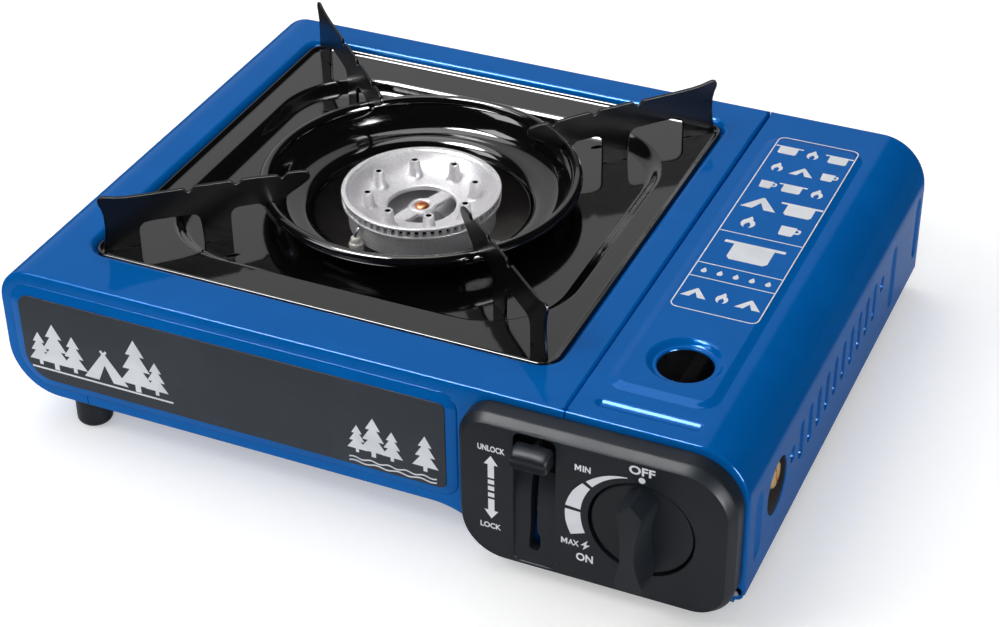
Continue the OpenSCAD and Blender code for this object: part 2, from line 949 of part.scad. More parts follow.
module mixing_tube() {
    start = tray_x + boss_len;
    color(alloy)
        difference() {
            union() {
                translate([start, tray_y, mix_z])
                    rotate([0, 90, 0])
                        cylinder(r = mix_r, h = mix_len - 12);
                translate([mix_end - 16, tray_y, mix_z])
                    rotate([0, 90, 0])
                        cylinder(r = mix_r + 2.5, h = 16);
            }
            translate([start - 1, tray_y, mix_z])
                rotate([0, 90, 0])
                    cylinder(r = mix_r - 1.5, h = mix_len - 1);
            translate([mix_end - 3, tray_y, mix_z])
                rotate([0, 90, 0])
                    cylinder(r = 3, h = 4, $fn = 32);
            translate([mix_end - 9, tray_y, mix_z])
                cube([9, 4 * mix_r, mix_r], center = true);
        }
}

module jet_nozzle() {
    color(brass) {
        translate([mix_end - 6, tray_y, mix_z])
            rotate([0, 90, 0])
                cylinder(r = 2.95, h = 6, $fn = 32);
        translate([mix_end, tray_y, mix_z])
            rotate([0, 90, 0])
                cylinder(r = 5, h = 8, $fn = 6);
    }
}

pipe_start = mix_end + 8;
pipe_turn = pipe_start + 10;
outlet_x = cart_x - reg_r - 3;

module gas_pipe() {
    color(steel)
        rod([[pipe_start, tray_y, mix_z], [pipe_turn, tray_y, mix_z], [pipe_turn, pipe_y, mix_z],
            [outlet_x, pipe_y, mix_z]], pipe_r);
}

module at_electrode(z) {
    at_burner(z)
        rotate(electrode_angle)
            translate([electrode_r, 0, 0])
                children();
}

module electrode() {
    color("white")
        at_electrode(burner_low - 8)
            difference() {
                union() {
                    cylinder(r = 2.4, h = electrode_top - burner_low + 8, $fn = 32);
                    translate([0, 0, 7])
                        cylinder(r = 3.4, h = 3, $fn = 32);
                }
                translate([0, 0, -1])
                    cylinder(r = 0.85, h = 30, $fn = 24);
            }
}

module electrode_pin() {
    color(steel)
        at_electrode(burner_low - 12) {
            cylinder(r = 0.8, h = electrode_top - burner_low + 16.5, $fn = 24);
        }
}

module electrode_clip() {
    color(steel)
        at_burner(burner_low - 5.4)
            rotate(electrode_angle)
                difference() {
                    translate([stem_r + 0.15, -4, 0])
                        cube([electrode_r - stem_r + 4.8, 8, 1.2]);
                    translate([electrode_r, 0, -1])
                        cylinder(r = 2.45, h = 4, $fn = 32);
                }
}

electrode_at = [tray_x + electrode_r * cos(electrode_angle), tray_y + electrode_r * sin(electrode_angle)];

module igniter_lead() {
    low = burner_low - 12 - lead_r;
    back = igniter_at[1] + igniter[1];
    x = igniter_at[0] + igniter[0] / 2;
    out_z = igniter_at[2] + igniter[2] / 2;
    color("black")
        rod([[x, back, out_z], [x, lead_y, out_z], [x, lead_y, lead_z], [electrode_at[0], lead_y, lead_z],
            [electrode_at[0], lead_y, low], [electrode_at[0], electrode_at[1], low]], lead_r);
}

module piezo_igniter() {
    color(plastic)
        translate(igniter_at)
            cube(igniter);
}

// ---------------------------------------------------------------- regulator and controls

module regulator_body() {
    color(alloy)
        difference() {
            union() {
                translate([cart_x, plate_back, cart_z])
                    rotate([-90, 0, 0])
                        cylinder(r = reg_r, h = 3);
                translate([cart_x, plate_back, cart_z])
                    rotate([-90, 0, 0])
                        cylinder(r = 11, h = 20);
                translate([cart_x, front_y + 22, cart_z])
                    rotate([-90, 0, 0])
                        cylinder(r = reg_r, h = reg_back - front_y - 22);
                translate([cart_x, reg_back - 1, cart_z])
                    rotate([-90, 0, 0])
                        cylinder(r = reg_neck_r, h = inlet_face - reg_back + 1);
                translate([cart_x, side_port_y, cart_z])
                    rotate([0, 90, 0])
                        cylinder(r = 8.5, h = reg_r + 5);
                translate([outlet_x, pipe_y, mix_z])
                    rotate([0, 90, 0])
                        cylinder(r = 5, h = reg_r);
            }
            translate([cart_x, inlet_face - inlet_depth, cart_z])
                rotate([-90, 0, 0])
                    cylinder(r = inlet_r, h = inlet_depth + 1);
            translate([cart_x, inlet_face - 2, cart_z])
                rotate([-90, 0, 0])
                    cylinder(r = inlet_r + 3, h = 3);
            translate([cart_x, plate_back - 1, cart_z])
                rotate([-90, 0, 0])
                    cylinder(r = spindle_r + 0.06, h = 17);
            for (sz = [-1, 1])
                translate([cart_x, plate_back - 1, cart_z + sz * (reg_r - 3)])
                    rotate([-90, 0, 0])
                        cylinder(r = 1.3, h = 5, $fn = 24);
        }
}

module regulator_cap() {
    x = cart_x + reg_r + 5;
    color(brass) {
        translate([x, side_port_y, cart_z])
            rotate([0, 90, 0])
                cylinder(r = 8, h = 5, $fn = 6);
        translate([x + 5, side_port_y, cart_z])
            rotate([0, 90, 0])
                cylinder(r = 3.5, h = 2.5);
    }
}

module inlet_seal() {
    color("black")
        translate([cart_x, inlet_face - 2, cart_z])
            rotate([-90, 0, 0])
                difference() {
                    cylinder(r = inlet_r + 3, h = 1.8);
                    translate([0, 0, -1])
                        cylinder(r = inlet_r + 0.3, h = 4);
                }
}

module regulator_screws() {
    color(steel)
        for (sz = [-1, 1])
            translate([cart_x, plate_y, cart_z + sz * (reg_r - 3)])
                rotate([-90, 0, 0])
                    screw(1.25, 4);
}

module valve_spindle() {
    color(steel)
        translate([cart_x, panel_front + 1.5, cart_z])
            rotate([-90, 0, 0])
                cylinder(r = spindle_r, h = plate_back + 14 - panel_front - 1.5);
}

// Front view of the knob's grip: a waisted bar with a pointed top
module grip_outline() {
    reach = knob_r - 1;
    difference() {
        union() {
            translate([-grip_w / 2, -reach + 3])
                square([grip_w, 2 * reach - 9]);
            translate([0, -reach + grip_w / 2])
                circle(grip_w / 2);
            polygon([[-grip_w / 2, reach - 6], [0, reach], [grip_w / 2, reach - 6]]);
        }
        for (sx = [-1, 1])
            translate([sx * (grip_w / 2 + 38.2), 1])
                circle(40);
    }
}

// Side view of the grip: fullest in the middle, lower at both ends
module grip_side() {
    polygon([[1, -knob_r], [-grip_reach + 6, -knob_r], [-grip_reach + 1, -knob_r / 2], [-grip_reach, 0],
        [-grip_reach, knob_r / 2], [-grip_reach + 2, knob_r], [1, knob_r]]);
}

module knob() {
    color(plastic)
        difference() {
            union() {
                translate([cart_x, panel_front, cart_z])
                    rotate([-90, 0, 0])
                        cylinder(r = knob_r, h = 8);
                translate([cart_x, panel_front + 8 - e, cart_z])
                    rotate([-90, 0, 0])
                        cylinder(r = spindle_r + 3, h = 2);
                intersection() {
                    in_xz(panel_front - grip_reach, grip_reach + e)
                        translate([cart_x, cart_z])
                            grip_outline();
                    in_yz(cart_x - grip_w, 2 * grip_w)
                        translate([panel_front, cart_z])
                            grip_side();
                }
            }
            translate([cart_x, panel_front + 1.5, cart_z])
                rotate([-90, 0, 0])
                    cylinder(r = spindle_r, h = 20);
        }
}

module panel_outline(inset = 0) {
    corner_rect([panel_left + inset, panel_low + inset], [panel_right - inset, panel_high - inset],
        13 - inset, 22 - inset, 24 - inset, 16 - inset);
}

panel_bosses_left = [[panel_left + 12, panel_high - 10], [panel_left + 14, panel_low + 12]];
boss_side = knob_hole_r + 3.4;
panel_bosses_right = [[cart_x - boss_side, panel_high - 9], [cart_x + boss_side, panel_high - 14],
    [cart_x - boss_side, panel_low + 12], [cart_x + boss_side, panel_low + 12]];

module panel_boss(p, back) {
    translate([p[0], panel_front + 1, p[1]])
        rotate([-90, 0, 0])
            cylinder(r = 3.5, h = back - panel_front - 1, $fn = 32);
}

module control_panel() {
    color(plastic)
        difference() {
            union() {
                difference() {
                    hull() {
                        in_xz(panel_back - panel_t / 2, panel_t / 2)
                            panel_outline($fn = 32);
                        in_xz(panel_front, 1)
                            panel_outline(panel_inset, $fn = 32);
                    }
                    in_xz(panel_front + panel_wall, panel_t)
                        panel_outline(panel_inset + 1);
                }
                for (p = panel_bosses_left)
                    panel_boss(p, front_y);
                for (p = panel_bosses_right)
                    panel_boss(p, plate_y);
                in_xz(panel_front + 1, channel_depth + 1)
                    corner_rect([channel_x - channel_w / 2 - 2, channel_low - 2],
                        [channel_x + channel_w / 2 + 2, channel_high + 2], 4, 4, 4, 4);
            }
            in_xz(panel_front - 1, channel_depth + 1)
                corner_rect([channel_x - channel_w / 2, channel_low],
                    [channel_x + channel_w / 2, channel_high], 3, 3, 3, 3);
            in_xz(panel_front - 1, panel_t)
                slot_2d([channel_x, lock_z + 3], [channel_x, lock_low - 5.5], 1.5);
            translate([cart_x, panel_front - 1, cart_z])
                rotate([-90, 0, 0])
                    cylinder(r = knob_hole_r, h = panel_wall + 2);
            for (p = concat(panel_bosses_left, panel_bosses_right))
                translate([p[0], panel_front + 4, p[1]])
                    rotate([-90, 0, 0])
                        cylinder(r = 1.25, h = panel_t, $fn = 24);
        }
}

module panel_screws() {
    color(steel) {
        for (p = panel_bosses_left)
            translate([p[0], front_y + sheet, p[1]])
                rotate([90, 0, 0])
                    screw(1.25, 7);
        for (p = panel_bosses_right)
            translate([p[0], plate_back, p[1]])
                rotate([90, 0, 0])
                    screw(1.25, 8);
    }
}

module lock_slider() {
    front = panel_front - 6.4;
    color(plastic)
        difference() {
            union() {
                in_xz(front, panel_front + channel_depth - 0.4 - front)
                    translate([channel_x, lock_z])
                        rrect(cap_w, cap_h, 2.5);
                in_xz(front - 1, 3)
                    corner_rect([channel_x - cap_w / 2 - 0.6, lock_z - cap_h / 2 - 0.6],
                        [channel_x + cap_w / 2, lock_z - cap_h / 2 + 2.4], 1, 1, 1, 1);
            }
            in_xz(panel_front - 3, 9)
                translate([channel_x, lock_z])
                    square([stem_t, stem_h], center = true);
        }
}

// Steel stem through the panel, with the pin that drives the fork
module lock_stem() {
    color(steel) {
        translate([channel_x - stem_t / 2, panel_front - 3, lock_z - stem_h / 2])
            cube([stem_t, stem_end - panel_front + 3, stem_h]);
        translate([channel_x, pin_y, lock_z])
            rotate([0, 90, 0])
                cylinder(r = pin_r, h = cam_x + cam_t + 0.8 - channel_x, $fn = 32);
    }
}

module lock_guide() {
    low = lock_low - stem_h / 2 - 1;
    high = inner_top - 3;
    color(steel)
        difference() {
            translate([channel_x - stem_h / 2 - 4, front_y + sheet, low])
                cube([stem_h / 2 + 6.6, 8, high - low]);
            translate([channel_x - stem_t / 2 - 0.2, front_y, low - 1])
                cube([stem_t + 0.4, 12, lock_z + stem_h / 2 + 1.5 - low]);
        }
}

// Bent plate: a cam slot beside the bay and a fork behind the cartridge's rim
module cartridge_fork() {
    cam_in = pin_y - 6;
    strip_top = cam_low + cam_strip;
    color(steel) {
        in_yz(cam_x, cam_t)
            difference() {
                union() {
                    translate([cam_in, cam_low])
                        square([fork_y + cam_t - cam_in, cam_strip]);
                    translate([cam_in, cam_low])
                        square([lock_pull + 12, lock_z + 6 - cam_low]);
                }
                slot_2d([pin_y, lock_z], [pin_y + lock_pull, lock_low], pin_r + pin_clear);
                for (y = guide_y)
                    slot_2d([y, cam_low + cam_strip / 2], [y + lock_pull, cam_low + cam_strip / 2],
                        pin_r + pin_clear);
            }
        in_xz(fork_y, cam_t)
            difference() {
                union() {
                    translate([cam_x, cam_low])
                        square([cart_x - cam_x, cart_z - 12 - cam_low]);
                    translate([cart_x, cart_z])
                        circle(21);
                }
                translate([cart_x, cart_z])
                    circle(14);
                translate([cart_x - 14, cart_z])
                    square([28, 40]);
                translate([cart_x - 30, cart_z + 12])
                    square([60, 40]);
            }
    }
}

module guide_pins() {
    color(steel)
        for (y = guide_y)
            translate([cam_x - 1, y, cam_low + cam_strip / 2])
                rotate([0, 90, 0]) {
                    cylinder(r = pin_r, h = divider_x - cam_x + 1, $fn = 32);
                    cylinder(r = 2.8, h = 0.7, $fn = 32);
                }
}

module casing_screws() {
    color(steel) {
        for (x = bracket_screw_x, y = bracket_screw_y)
            translate([x, y, pan_z])
                screw(screw_r, 4);
        for (x = cradle_screw_x, y = cradle_screw_y)
            translate([x, y, bay_z])
                screw(screw_r, 3.2);
    }
}

top_casing();
base_pan();
front_panel();
front_label();
tall_feet();
short_feet();
bay_divider();
bay_front_plate();
bay_back_plate();
cartridge_cradle();
cartridge_lid();
lid_hinge_pins();
drip_tray();
support_ring();
front_left_arm();
front_right_arm();
back_left_arm();
back_right_arm();
burner_head();
burner_body();
burner_bridge();
bridge_screw();
burner_bracket();
burner_screws();
mixing_tube();
jet_nozzle();
gas_pipe();
electrode();
electrode_pin();
electrode_clip();
igniter_lead();
piezo_igniter();
regulator_body();
regulator_cap();
inlet_seal();
regulator_screws();
valve_spindle();
knob();
control_panel();
panel_screws();
lock_slider();
lock_stem();
lock_guide();
cartridge_fork();
guide_pins();
casing_screws();
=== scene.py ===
# %% [markdown]
# # Dressing a butane cassette stove
#
# The stove's solids come from its CAD source and already stand in the right place, in metres. This lesson
# dresses them: pressed sheet metal with rolled edges, glossy and black enamel, a cast burner, moulded
# controls and their printed marks. Every new piece is drawn where its solid is and rides on the same body,
# so the lid, the knob, the lever and the tray still move.

# %% Load the fixed frame
import json
import math

import bmesh
import bpy
from mathutils import Matrix, Vector

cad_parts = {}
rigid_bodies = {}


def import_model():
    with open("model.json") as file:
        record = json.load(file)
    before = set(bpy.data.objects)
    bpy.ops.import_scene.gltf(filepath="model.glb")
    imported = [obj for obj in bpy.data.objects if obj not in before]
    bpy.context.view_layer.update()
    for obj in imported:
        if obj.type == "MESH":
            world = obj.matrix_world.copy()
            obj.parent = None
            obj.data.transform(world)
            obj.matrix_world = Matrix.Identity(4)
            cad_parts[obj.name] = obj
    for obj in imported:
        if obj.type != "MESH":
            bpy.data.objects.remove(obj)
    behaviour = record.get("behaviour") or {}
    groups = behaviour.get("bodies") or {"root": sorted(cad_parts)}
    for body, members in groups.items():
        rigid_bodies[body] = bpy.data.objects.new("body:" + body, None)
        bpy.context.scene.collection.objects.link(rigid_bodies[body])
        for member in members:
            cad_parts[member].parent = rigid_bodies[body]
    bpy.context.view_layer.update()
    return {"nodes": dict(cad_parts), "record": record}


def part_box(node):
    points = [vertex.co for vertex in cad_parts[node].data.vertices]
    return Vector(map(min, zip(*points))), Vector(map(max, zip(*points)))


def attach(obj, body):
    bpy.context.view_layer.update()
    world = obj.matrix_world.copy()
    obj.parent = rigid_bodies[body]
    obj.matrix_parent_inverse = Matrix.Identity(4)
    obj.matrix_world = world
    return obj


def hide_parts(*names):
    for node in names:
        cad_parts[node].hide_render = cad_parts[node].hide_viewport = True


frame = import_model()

MM = 0.001

# %% [markdown]
# The camera is set from four facts: where it stands, how it is turned, its lens and the sensor's width. A
# long lens from nearly a metre away keeps the box shape calm. It is made first, so that everything after it
# can be looked at.

# %% Camera
CAMERA_AT = (346.823, -737.831, 590.802)
CAMERA_TURN = (55.3788, 0.5439, 23.8673)
CAMERA_LENS = 78.54

bpy.ops.object.camera_add(location=Vector(CAMERA_AT) * MM, rotation=[math.radians(a) for a in CAMERA_TURN])
camera = bpy.context.object
camera.name = "camera"
camera.data.lens = CAMERA_LENS
camera.data.sensor_width = 36
camera.data.clip_end = 20
bpy.context.scene.camera = camera
bpy.context.scene.view_settings.view_transform = "Standard"
print("camera distance, m:", round(camera.location.length, 3))

# %% [markdown]
# Sizes are read from the solids where that can be done, so a piece follows its node. The numbers are
# millimetres, as on a drawing, and each helper turns them into metres where it meets Blender. ON_SHEET and
# ON_EDGE say how near a point has to lie to a flat sheet or a cut edge to be taken for part of it.

# %% Measure the frame
def box_mm(node):
    low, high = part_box(node)
    return Vector(low) / MM, Vector(high) / MM


casing_low, casing_high = box_mm("top_casing")
lid_low, lid_high = box_mm("cartridge_lid")
pan_low, pan_high = box_mm("base_pan")
ring_low, ring_high = box_mm("support_ring")
panel_low, panel_high = box_mm("control_panel")

FRONT, BACK = casing_low.y, casing_high.y
LEFT, RIGHT = casing_low.x, lid_high.x
TOP = casing_high.z
SPLIT = casing_high.x
SEAM = pan_low.x
BAY_BOTTOM = pan_low.z
BAY_STEP = 10.1
PAN_BOTTOM = BAY_BOTTOM + BAY_STEP
SHEET = 0.8
ON_SHEET, ON_EDGE = 0.02, 0.05
UPWARD, FRONTWARD, RIGHTWARD = (0, 0, 1), (0, -1, 0), (1, 0, 0)
middle = (ring_low + ring_high) / 2
CENTRE = Vector((middle.x, middle.y, 0))
print("casing", round(SPLIT - LEFT, 1), "x", round(BACK - FRONT, 1), "mm, burner at", CENTRE.to_tuple(1))

# %% [markdown]
# These helpers are the bench tools of the lesson. A piece starts as a primitive circle whose vertices are
# moved onto an outline. An n-gon drawn that way can be inset step by step, which is how a press forms a
# dish or a rolled edge: each step goes some way inwards and some way along the face's normal.

# %% Helpers: selecting and drawing outlines
def object_mode():
    if bpy.context.object and bpy.context.object.mode != "OBJECT":
        bpy.ops.object.mode_set(mode="OBJECT")
    bpy.ops.object.select_all(action="DESELECT")


def take(piece):
    """Leaves edit mode and takes one piece alone in hand."""
    object_mode()
    piece.select_set(True)
    bpy.context.view_layer.objects.active = piece


def edit(piece, everything=True):
    take(piece)
    bpy.ops.object.mode_set(mode="EDIT")
    bpy.ops.mesh.select_all(action="SELECT" if everything else "DESELECT")


def pick_faces(piece, test):
    bpy.ops.mesh.select_mode(type="FACE")
    bpy.ops.mesh.select_all(action="DESELECT")
    mesh = bmesh.from_edit_mesh(piece.data)
    for face in mesh.faces:
        face.select_set(bool(test(face.calc_center_median() / MM, face.normal)))
    bmesh.update_edit_mesh(piece.data)


def pick_edges(piece, test):
    bpy.ops.mesh.select_mode(type="EDGE")
    bpy.ops.mesh.select_all(action="DESELECT")
    mesh = bmesh.from_edit_mesh(piece.data)
    for edge in mesh.edges:
        a, b = (corner.co / MM for corner in edge.verts)
        edge.select_set(bool(test(edge, a, b)))
    bmesh.update_edit_mesh(piece.data)


def outline(name, points, filled=True):
    """A mesh with its corners on the points, in their order, with one face or none."""
    object_mode()
    bpy.ops.mesh.primitive_circle_add(vertices=len(points), radius=1, location=(0, 0, 0),
                                      fill_type="NGON" if filled else "NOTHING")
    piece = bpy.context.object
    piece.name = name
    piece.data.name = name
    for vertex, point in zip(piece.data.vertices, points):
        vertex.co = Vector(point) * MM
    piece.data.update()
    return piece


def arc(cx, cy, radius, start, end, steps=8):
    angles = [math.radians(start + (end - start) * i / steps) for i in range(steps + 1)]
    return [(cx + radius * math.cos(a), cy + radius * math.sin(a)) for a in angles]


def circle(cx, cy, radius, corners):
    return arc(cx, cy, radius, 0, 360 - 360 / corners, corners - 1)


def rounded(cx, cy, w, h, radii, steps=8):
    """Rounded rectangle, anticlockwise, with radii for top right, top left, bottom left, bottom right."""
    if not isinstance(radii, (tuple, list)):
        radii = (radii,) * 4
    points = []
    for index, (sx, sy) in enumerate([(1, 1), (-1, 1), (-1, -1), (1, -1)]):
        r = radii[index]
        points += arc(cx + sx * (w / 2 - r), cy + sy * (h / 2 - r), r, 90 * index, 90 * index + 90, steps)
    return [p for p, before in zip(points, points[-1:] + points) if math.dist(p, before) > 0.01]


def between(table, value):
    """Reads a table of (place, size) pairs at a place between them."""
    for (a, low), (b, high) in zip(table, table[1:]):
        if value <= b:
            return low + (high - low) * (value - a) / (b - a)
    return table[-1][1]


def flat(points, z):
    return [(u, v, z) for u, v in points]


def upright(points, y):
    return [(u, y, v) for u, v in points]


def sideways(points, x):
    return [(x, u, v) for u, v in points]


# %% [markdown]
# The next helpers stand for the workshop's machines. A press forms a sheet in steps, a lathe turns a profile,
# and a plate is an outline given a thickness. Booleans could do much of this, but pressed and turned meshes
# keep clean edges that catch the light, so a boolean is left for the cross in one screw's head.

# %% Helpers: pressing, turning and cutting plates
WELD = 0.01
MIN_INSET = 0.004


def pull(offset):
    """Extrudes what is picked by an offset in millimetres."""
    bpy.ops.mesh.extrude_region_move(TRANSFORM_OT_translate={"value": [part * MM for part in offset]})


def pressed(name, points, normal, steps, keep=False):
    """An outline pressed step by step: (inwards, along the normal), the last face kept or cut out."""
    piece = outline(name, points)
    if piece.data.polygons[0].normal.dot(Vector(normal)) < 0:
        edit(piece)
        bpy.ops.mesh.flip_normals()
    edit(piece)
    bpy.ops.mesh.select_mode(type="FACE")
    for inwards, along in steps:
        bpy.ops.mesh.inset(thickness=max(inwards, MIN_INSET) * MM, depth=along * MM, use_even_offset=True)
    if not keep:
        bpy.ops.mesh.delete(type="FACE")
    object_mode()
    return piece


def turned(name, profile, centre, axis=(0, 0, 1), start=(1, 0, 0), steps=96, closed=True):
    """A profile of (radius, height) points spun round an axis."""
    centre, axis, start = Vector(centre), Vector(axis), Vector(start)
    piece = outline(name, [centre + start * r + axis * h for r, h in profile], filled=False)
    edit(piece, everything=False)
    if not closed:
        last = len(profile) - 1
        pick_edges(piece, lambda edge, a, b: {v.index for v in edge.verts} == {0, last})
        bpy.ops.mesh.delete(type="EDGE")
    bpy.ops.mesh.select_mode(type="VERT")
    bpy.ops.mesh.select_all(action="SELECT")
    bpy.ops.mesh.spin(steps=steps, angle=math.tau, center=centre * MM, axis=axis)
    bpy.ops.mesh.select_all(action="SELECT")
    bpy.ops.mesh.remove_doubles(threshold=WELD / 2 * MM)
    bpy.ops.mesh.normals_make_consistent(inside=False)
    object_mode()
    return piece


def plate(name, points, thickness):
    """An outline given a thickness along a vector."""
    piece = outline(name, points)
    edit(piece)
    pull(thickness)
    bpy.ops.mesh.select_all(action="SELECT")
    bpy.ops.mesh.normals_make_consistent(inside=False)
    object_mode()
    return piece


def modify(piece, kind, **settings):
    take(piece)
    modifier = piece.modifiers.new(kind.lower(), kind)
    for key, value in settings.items():
        setattr(modifier, key, value)
    bpy.ops.object.modifier_apply(modifier=modifier.name)


def round_edges(piece, width, segments=3, angle=30):
    modify(piece, "BEVEL", width=width * MM, segments=segments, limit_method="ANGLE",
           angle_limit=math.radians(angle), use_clamp_overlap=True, miter_outer="MITER_ARC")


def cut(piece, tool):
    modify(piece, "BOOLEAN", operation="DIFFERENCE", object=tool, solver="EXACT")
    bpy.data.objects.remove(tool)


def twin(piece):
    """A copy of a piece with its own mesh."""
    take(piece)
    bpy.ops.object.duplicate(linked=False)
    return bpy.context.object


def joined(name, pieces):
    object_mode()
    for piece in pieces:
        piece.select_set(True)
    bpy.context.view_layer.objects.active = pieces[0]
    bpy.ops.object.join()
    pieces[0].name = name
    pieces[0].data.name = name
    return pieces[0]


def fill_between(piece, test):
    """Fills the flat sheet between the open edges that the test picks."""
    edit(piece)
    bpy.ops.mesh.remove_doubles(threshold=WELD * MM)
    pick_edges(piece, lambda edge, a, b: len(edge.link_faces) < 2 and test(a) and test(b))
    bpy.ops.mesh.fill(use_beauty=True)
    object_mode()


def add_finishes(piece, finishes):
    for material in finishes:
        piece.data.materials.append(material)


def give_second_finish():
    """Gives the picked faces of the piece in hand its second finish, and leaves edit mode."""
    bpy.context.object.active_material_index = 1
    bpy.ops.object.material_slot_assign()
    object_mode()


def skin(piece, thickness, outward, finishes=()):
    """Turns an open sheet's faces the right way, then gives the sheet its thickness inwards."""
    add_finishes(piece, finishes)
    edit(piece)
    bpy.ops.mesh.remove_doubles(threshold=WELD * MM)
    bpy.ops.mesh.normals_make_consistent(inside=False)
    object_mode()
    near, direction = Vector(outward[0]) * MM, Vector(outward[1])
    face = min(piece.data.polygons, key=lambda f: (f.center - near).length)
    if face.normal.dot(direction) < 0:
        edit(piece)
        bpy.ops.mesh.flip_normals()
    modify(piece, "SOLIDIFY", thickness=thickness * MM, offset=-1, use_even_offset=False,
           use_quality_normals=True, use_rim=True, material_offset=max(len(finishes) - 1, 0))


def dress(piece, body, material, nodes=(), angle=35):
    """The last step for each piece: soft shading, its finish, the body it rides on and what it stands for."""
    take(piece)
    bpy.ops.object.shade_smooth_by_angle(angle=math.radians(angle))
    modify(piece, "WEIGHTED_NORMAL", keep_sharp=True, weight=50)
    if not piece.data.materials:
        piece.data.materials.append(material)
    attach(piece, body)
    if nodes:
        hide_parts(*nodes)
    print(piece.name, "rides on", body, "with", len(piece.data.polygons), "faces")
    return piece


# %% [markdown]
# Every finish is procedural. Four effects are shared, so each is a node group that is built once: faint
# hand marks, the orange peel of sprayed or fired enamel, the fine grain of castings and mouldings, and
# dust. A group gives out only a mask or a height; the shader stays in the material.

# %% Shared effects
def new_group(name, inputs, outputs):
    group = bpy.data.node_groups.new(name, "ShaderNodeTree")
    for label, default in inputs:
        socket = group.interface.new_socket(label, in_out="INPUT", socket_type="NodeSocketFloat")
        socket.default_value = default
    for label in outputs:
        group.interface.new_socket(label, in_out="OUTPUT", socket_type="NodeSocketFloat")
    nodes = group.nodes
    return group, nodes.new("NodeGroupInput"), nodes.new("NodeGroupOutput")


def feed(tree, value, socket):
    """Sets a socket to a number, or links an output to it."""
    if isinstance(value, (int, float)):
        socket.default_value = value
    else:
        tree.links.new(value, socket)


def math_node(tree, operation, *values):
    node = tree.nodes.new("ShaderNodeMath")
    node.operation = operation
    for value, socket in zip(values, node.inputs):
        feed(tree, value, socket)
    return node.outputs[0]


def ramp_node(tree, value, low, high):
    node = tree.nodes.new("ShaderNodeMapRange")
    node.interpolation_type = "SMOOTHSTEP"
    node.inputs["From Min"].default_value = low
    node.inputs["From Max"].default_value = high
    tree.links.new(value, node.inputs["Value"])
    return node.outputs["Result"]


def noise_on_piece(group, scale, detail, roughness, distortion=0.0):
    """Noise laid out on the piece's own coordinates, its scale a number or one of the group's inputs."""
    place = group.nodes.new("ShaderNodeTexCoord")
    node = group.nodes.new("ShaderNodeTexNoise")
    group.links.new(place.outputs["Object"], node.inputs["Vector"])
    feed(group, scale, node.inputs["Scale"])
    node.inputs["Detail"].default_value = detail
    node.inputs["Roughness"].default_value = roughness
    node.inputs["Distortion"].default_value = distortion
    return node.outputs["Fac"]


def make_marks():
    group, entry, leave = new_group("hand marks", [("Scale", 30.0), ("Amount", 0.5)], ["Mask"])
    mask = ramp_node(group, noise_on_piece(group, entry.outputs["Scale"], 4, 0.55, 0.6), 0.45, 0.75)
    group.links.new(math_node(group, "MULTIPLY", mask, entry.outputs["Amount"]), leave.inputs["Mask"])
    return group


def make_peel():
    group, entry, leave = new_group("orange peel", [("Scale", 700.0)], ["Height"])
    group.links.new(noise_on_piece(group, entry.outputs["Scale"], 1, 0.4), leave.inputs["Height"])
    return group


def make_grain():
    group, entry, leave = new_group("fine grain", [("Scale", 2500.0)], ["Height", "Mask"])
    place = group.nodes.new("ShaderNodeTexCoord")
    cells = group.nodes.new("ShaderNodeTexVoronoi")
    cells.feature = "F1"
    group.links.new(place.outputs["Object"], cells.inputs["Vector"])
    group.links.new(entry.outputs["Scale"], cells.inputs["Scale"])
    soft = noise_on_piece(group, 900, 4, 0.6)
    group.links.new(math_node(group, "ADD", cells.outputs["Distance"], soft), leave.inputs["Height"])
    group.links.new(ramp_node(group, soft, 0.35, 0.7), leave.inputs["Mask"])
    return group


def make_dust():
    group, entry, leave = new_group("dust", [("Scale", 1400.0), ("Amount", 0.3)], ["Mask"])
    mask = ramp_node(group, noise_on_piece(group, entry.outputs["Scale"], 2, 0.5), 0.68, 0.8)
    group.links.new(math_node(group, "MULTIPLY", mask, entry.outputs["Amount"]), leave.inputs["Mask"])
    return group


EFFECTS = {"marks": make_marks(), "peel": make_peel(), "grain": make_grain(), "dust": make_dust()}
print("shared effects:", ", ".join(EFFECTS))

# %% [markdown]
# The stove's finishes differ in colour, gloss and relief, but they are built alike, so one function makes
# them all. It mixes two close colours by the hand marks, lets the roughness follow the marks too, lays dust
# over both, and gives the relief to a Bump node. The solids get the same finishes, each by its slot.

# %% Materials: one builder, one recipe for each finish
DUST_COLOUR = (170, 168, 162)
COAT_ROUGHNESS = 0.06


def linear(r, g, b):
    return [((c / 255 + 0.055) / 1.055) ** 2.4 if c > 10 else c / 255 / 12.92 for c in (r, g, b)] + [1.0]


def effect_node(tree, effect, **values):
    node = tree.nodes.new("ShaderNodeGroup")
    node.node_tree = EFFECTS[effect]
    for key, value in values.items():
        node.inputs[key].default_value = value
    return node


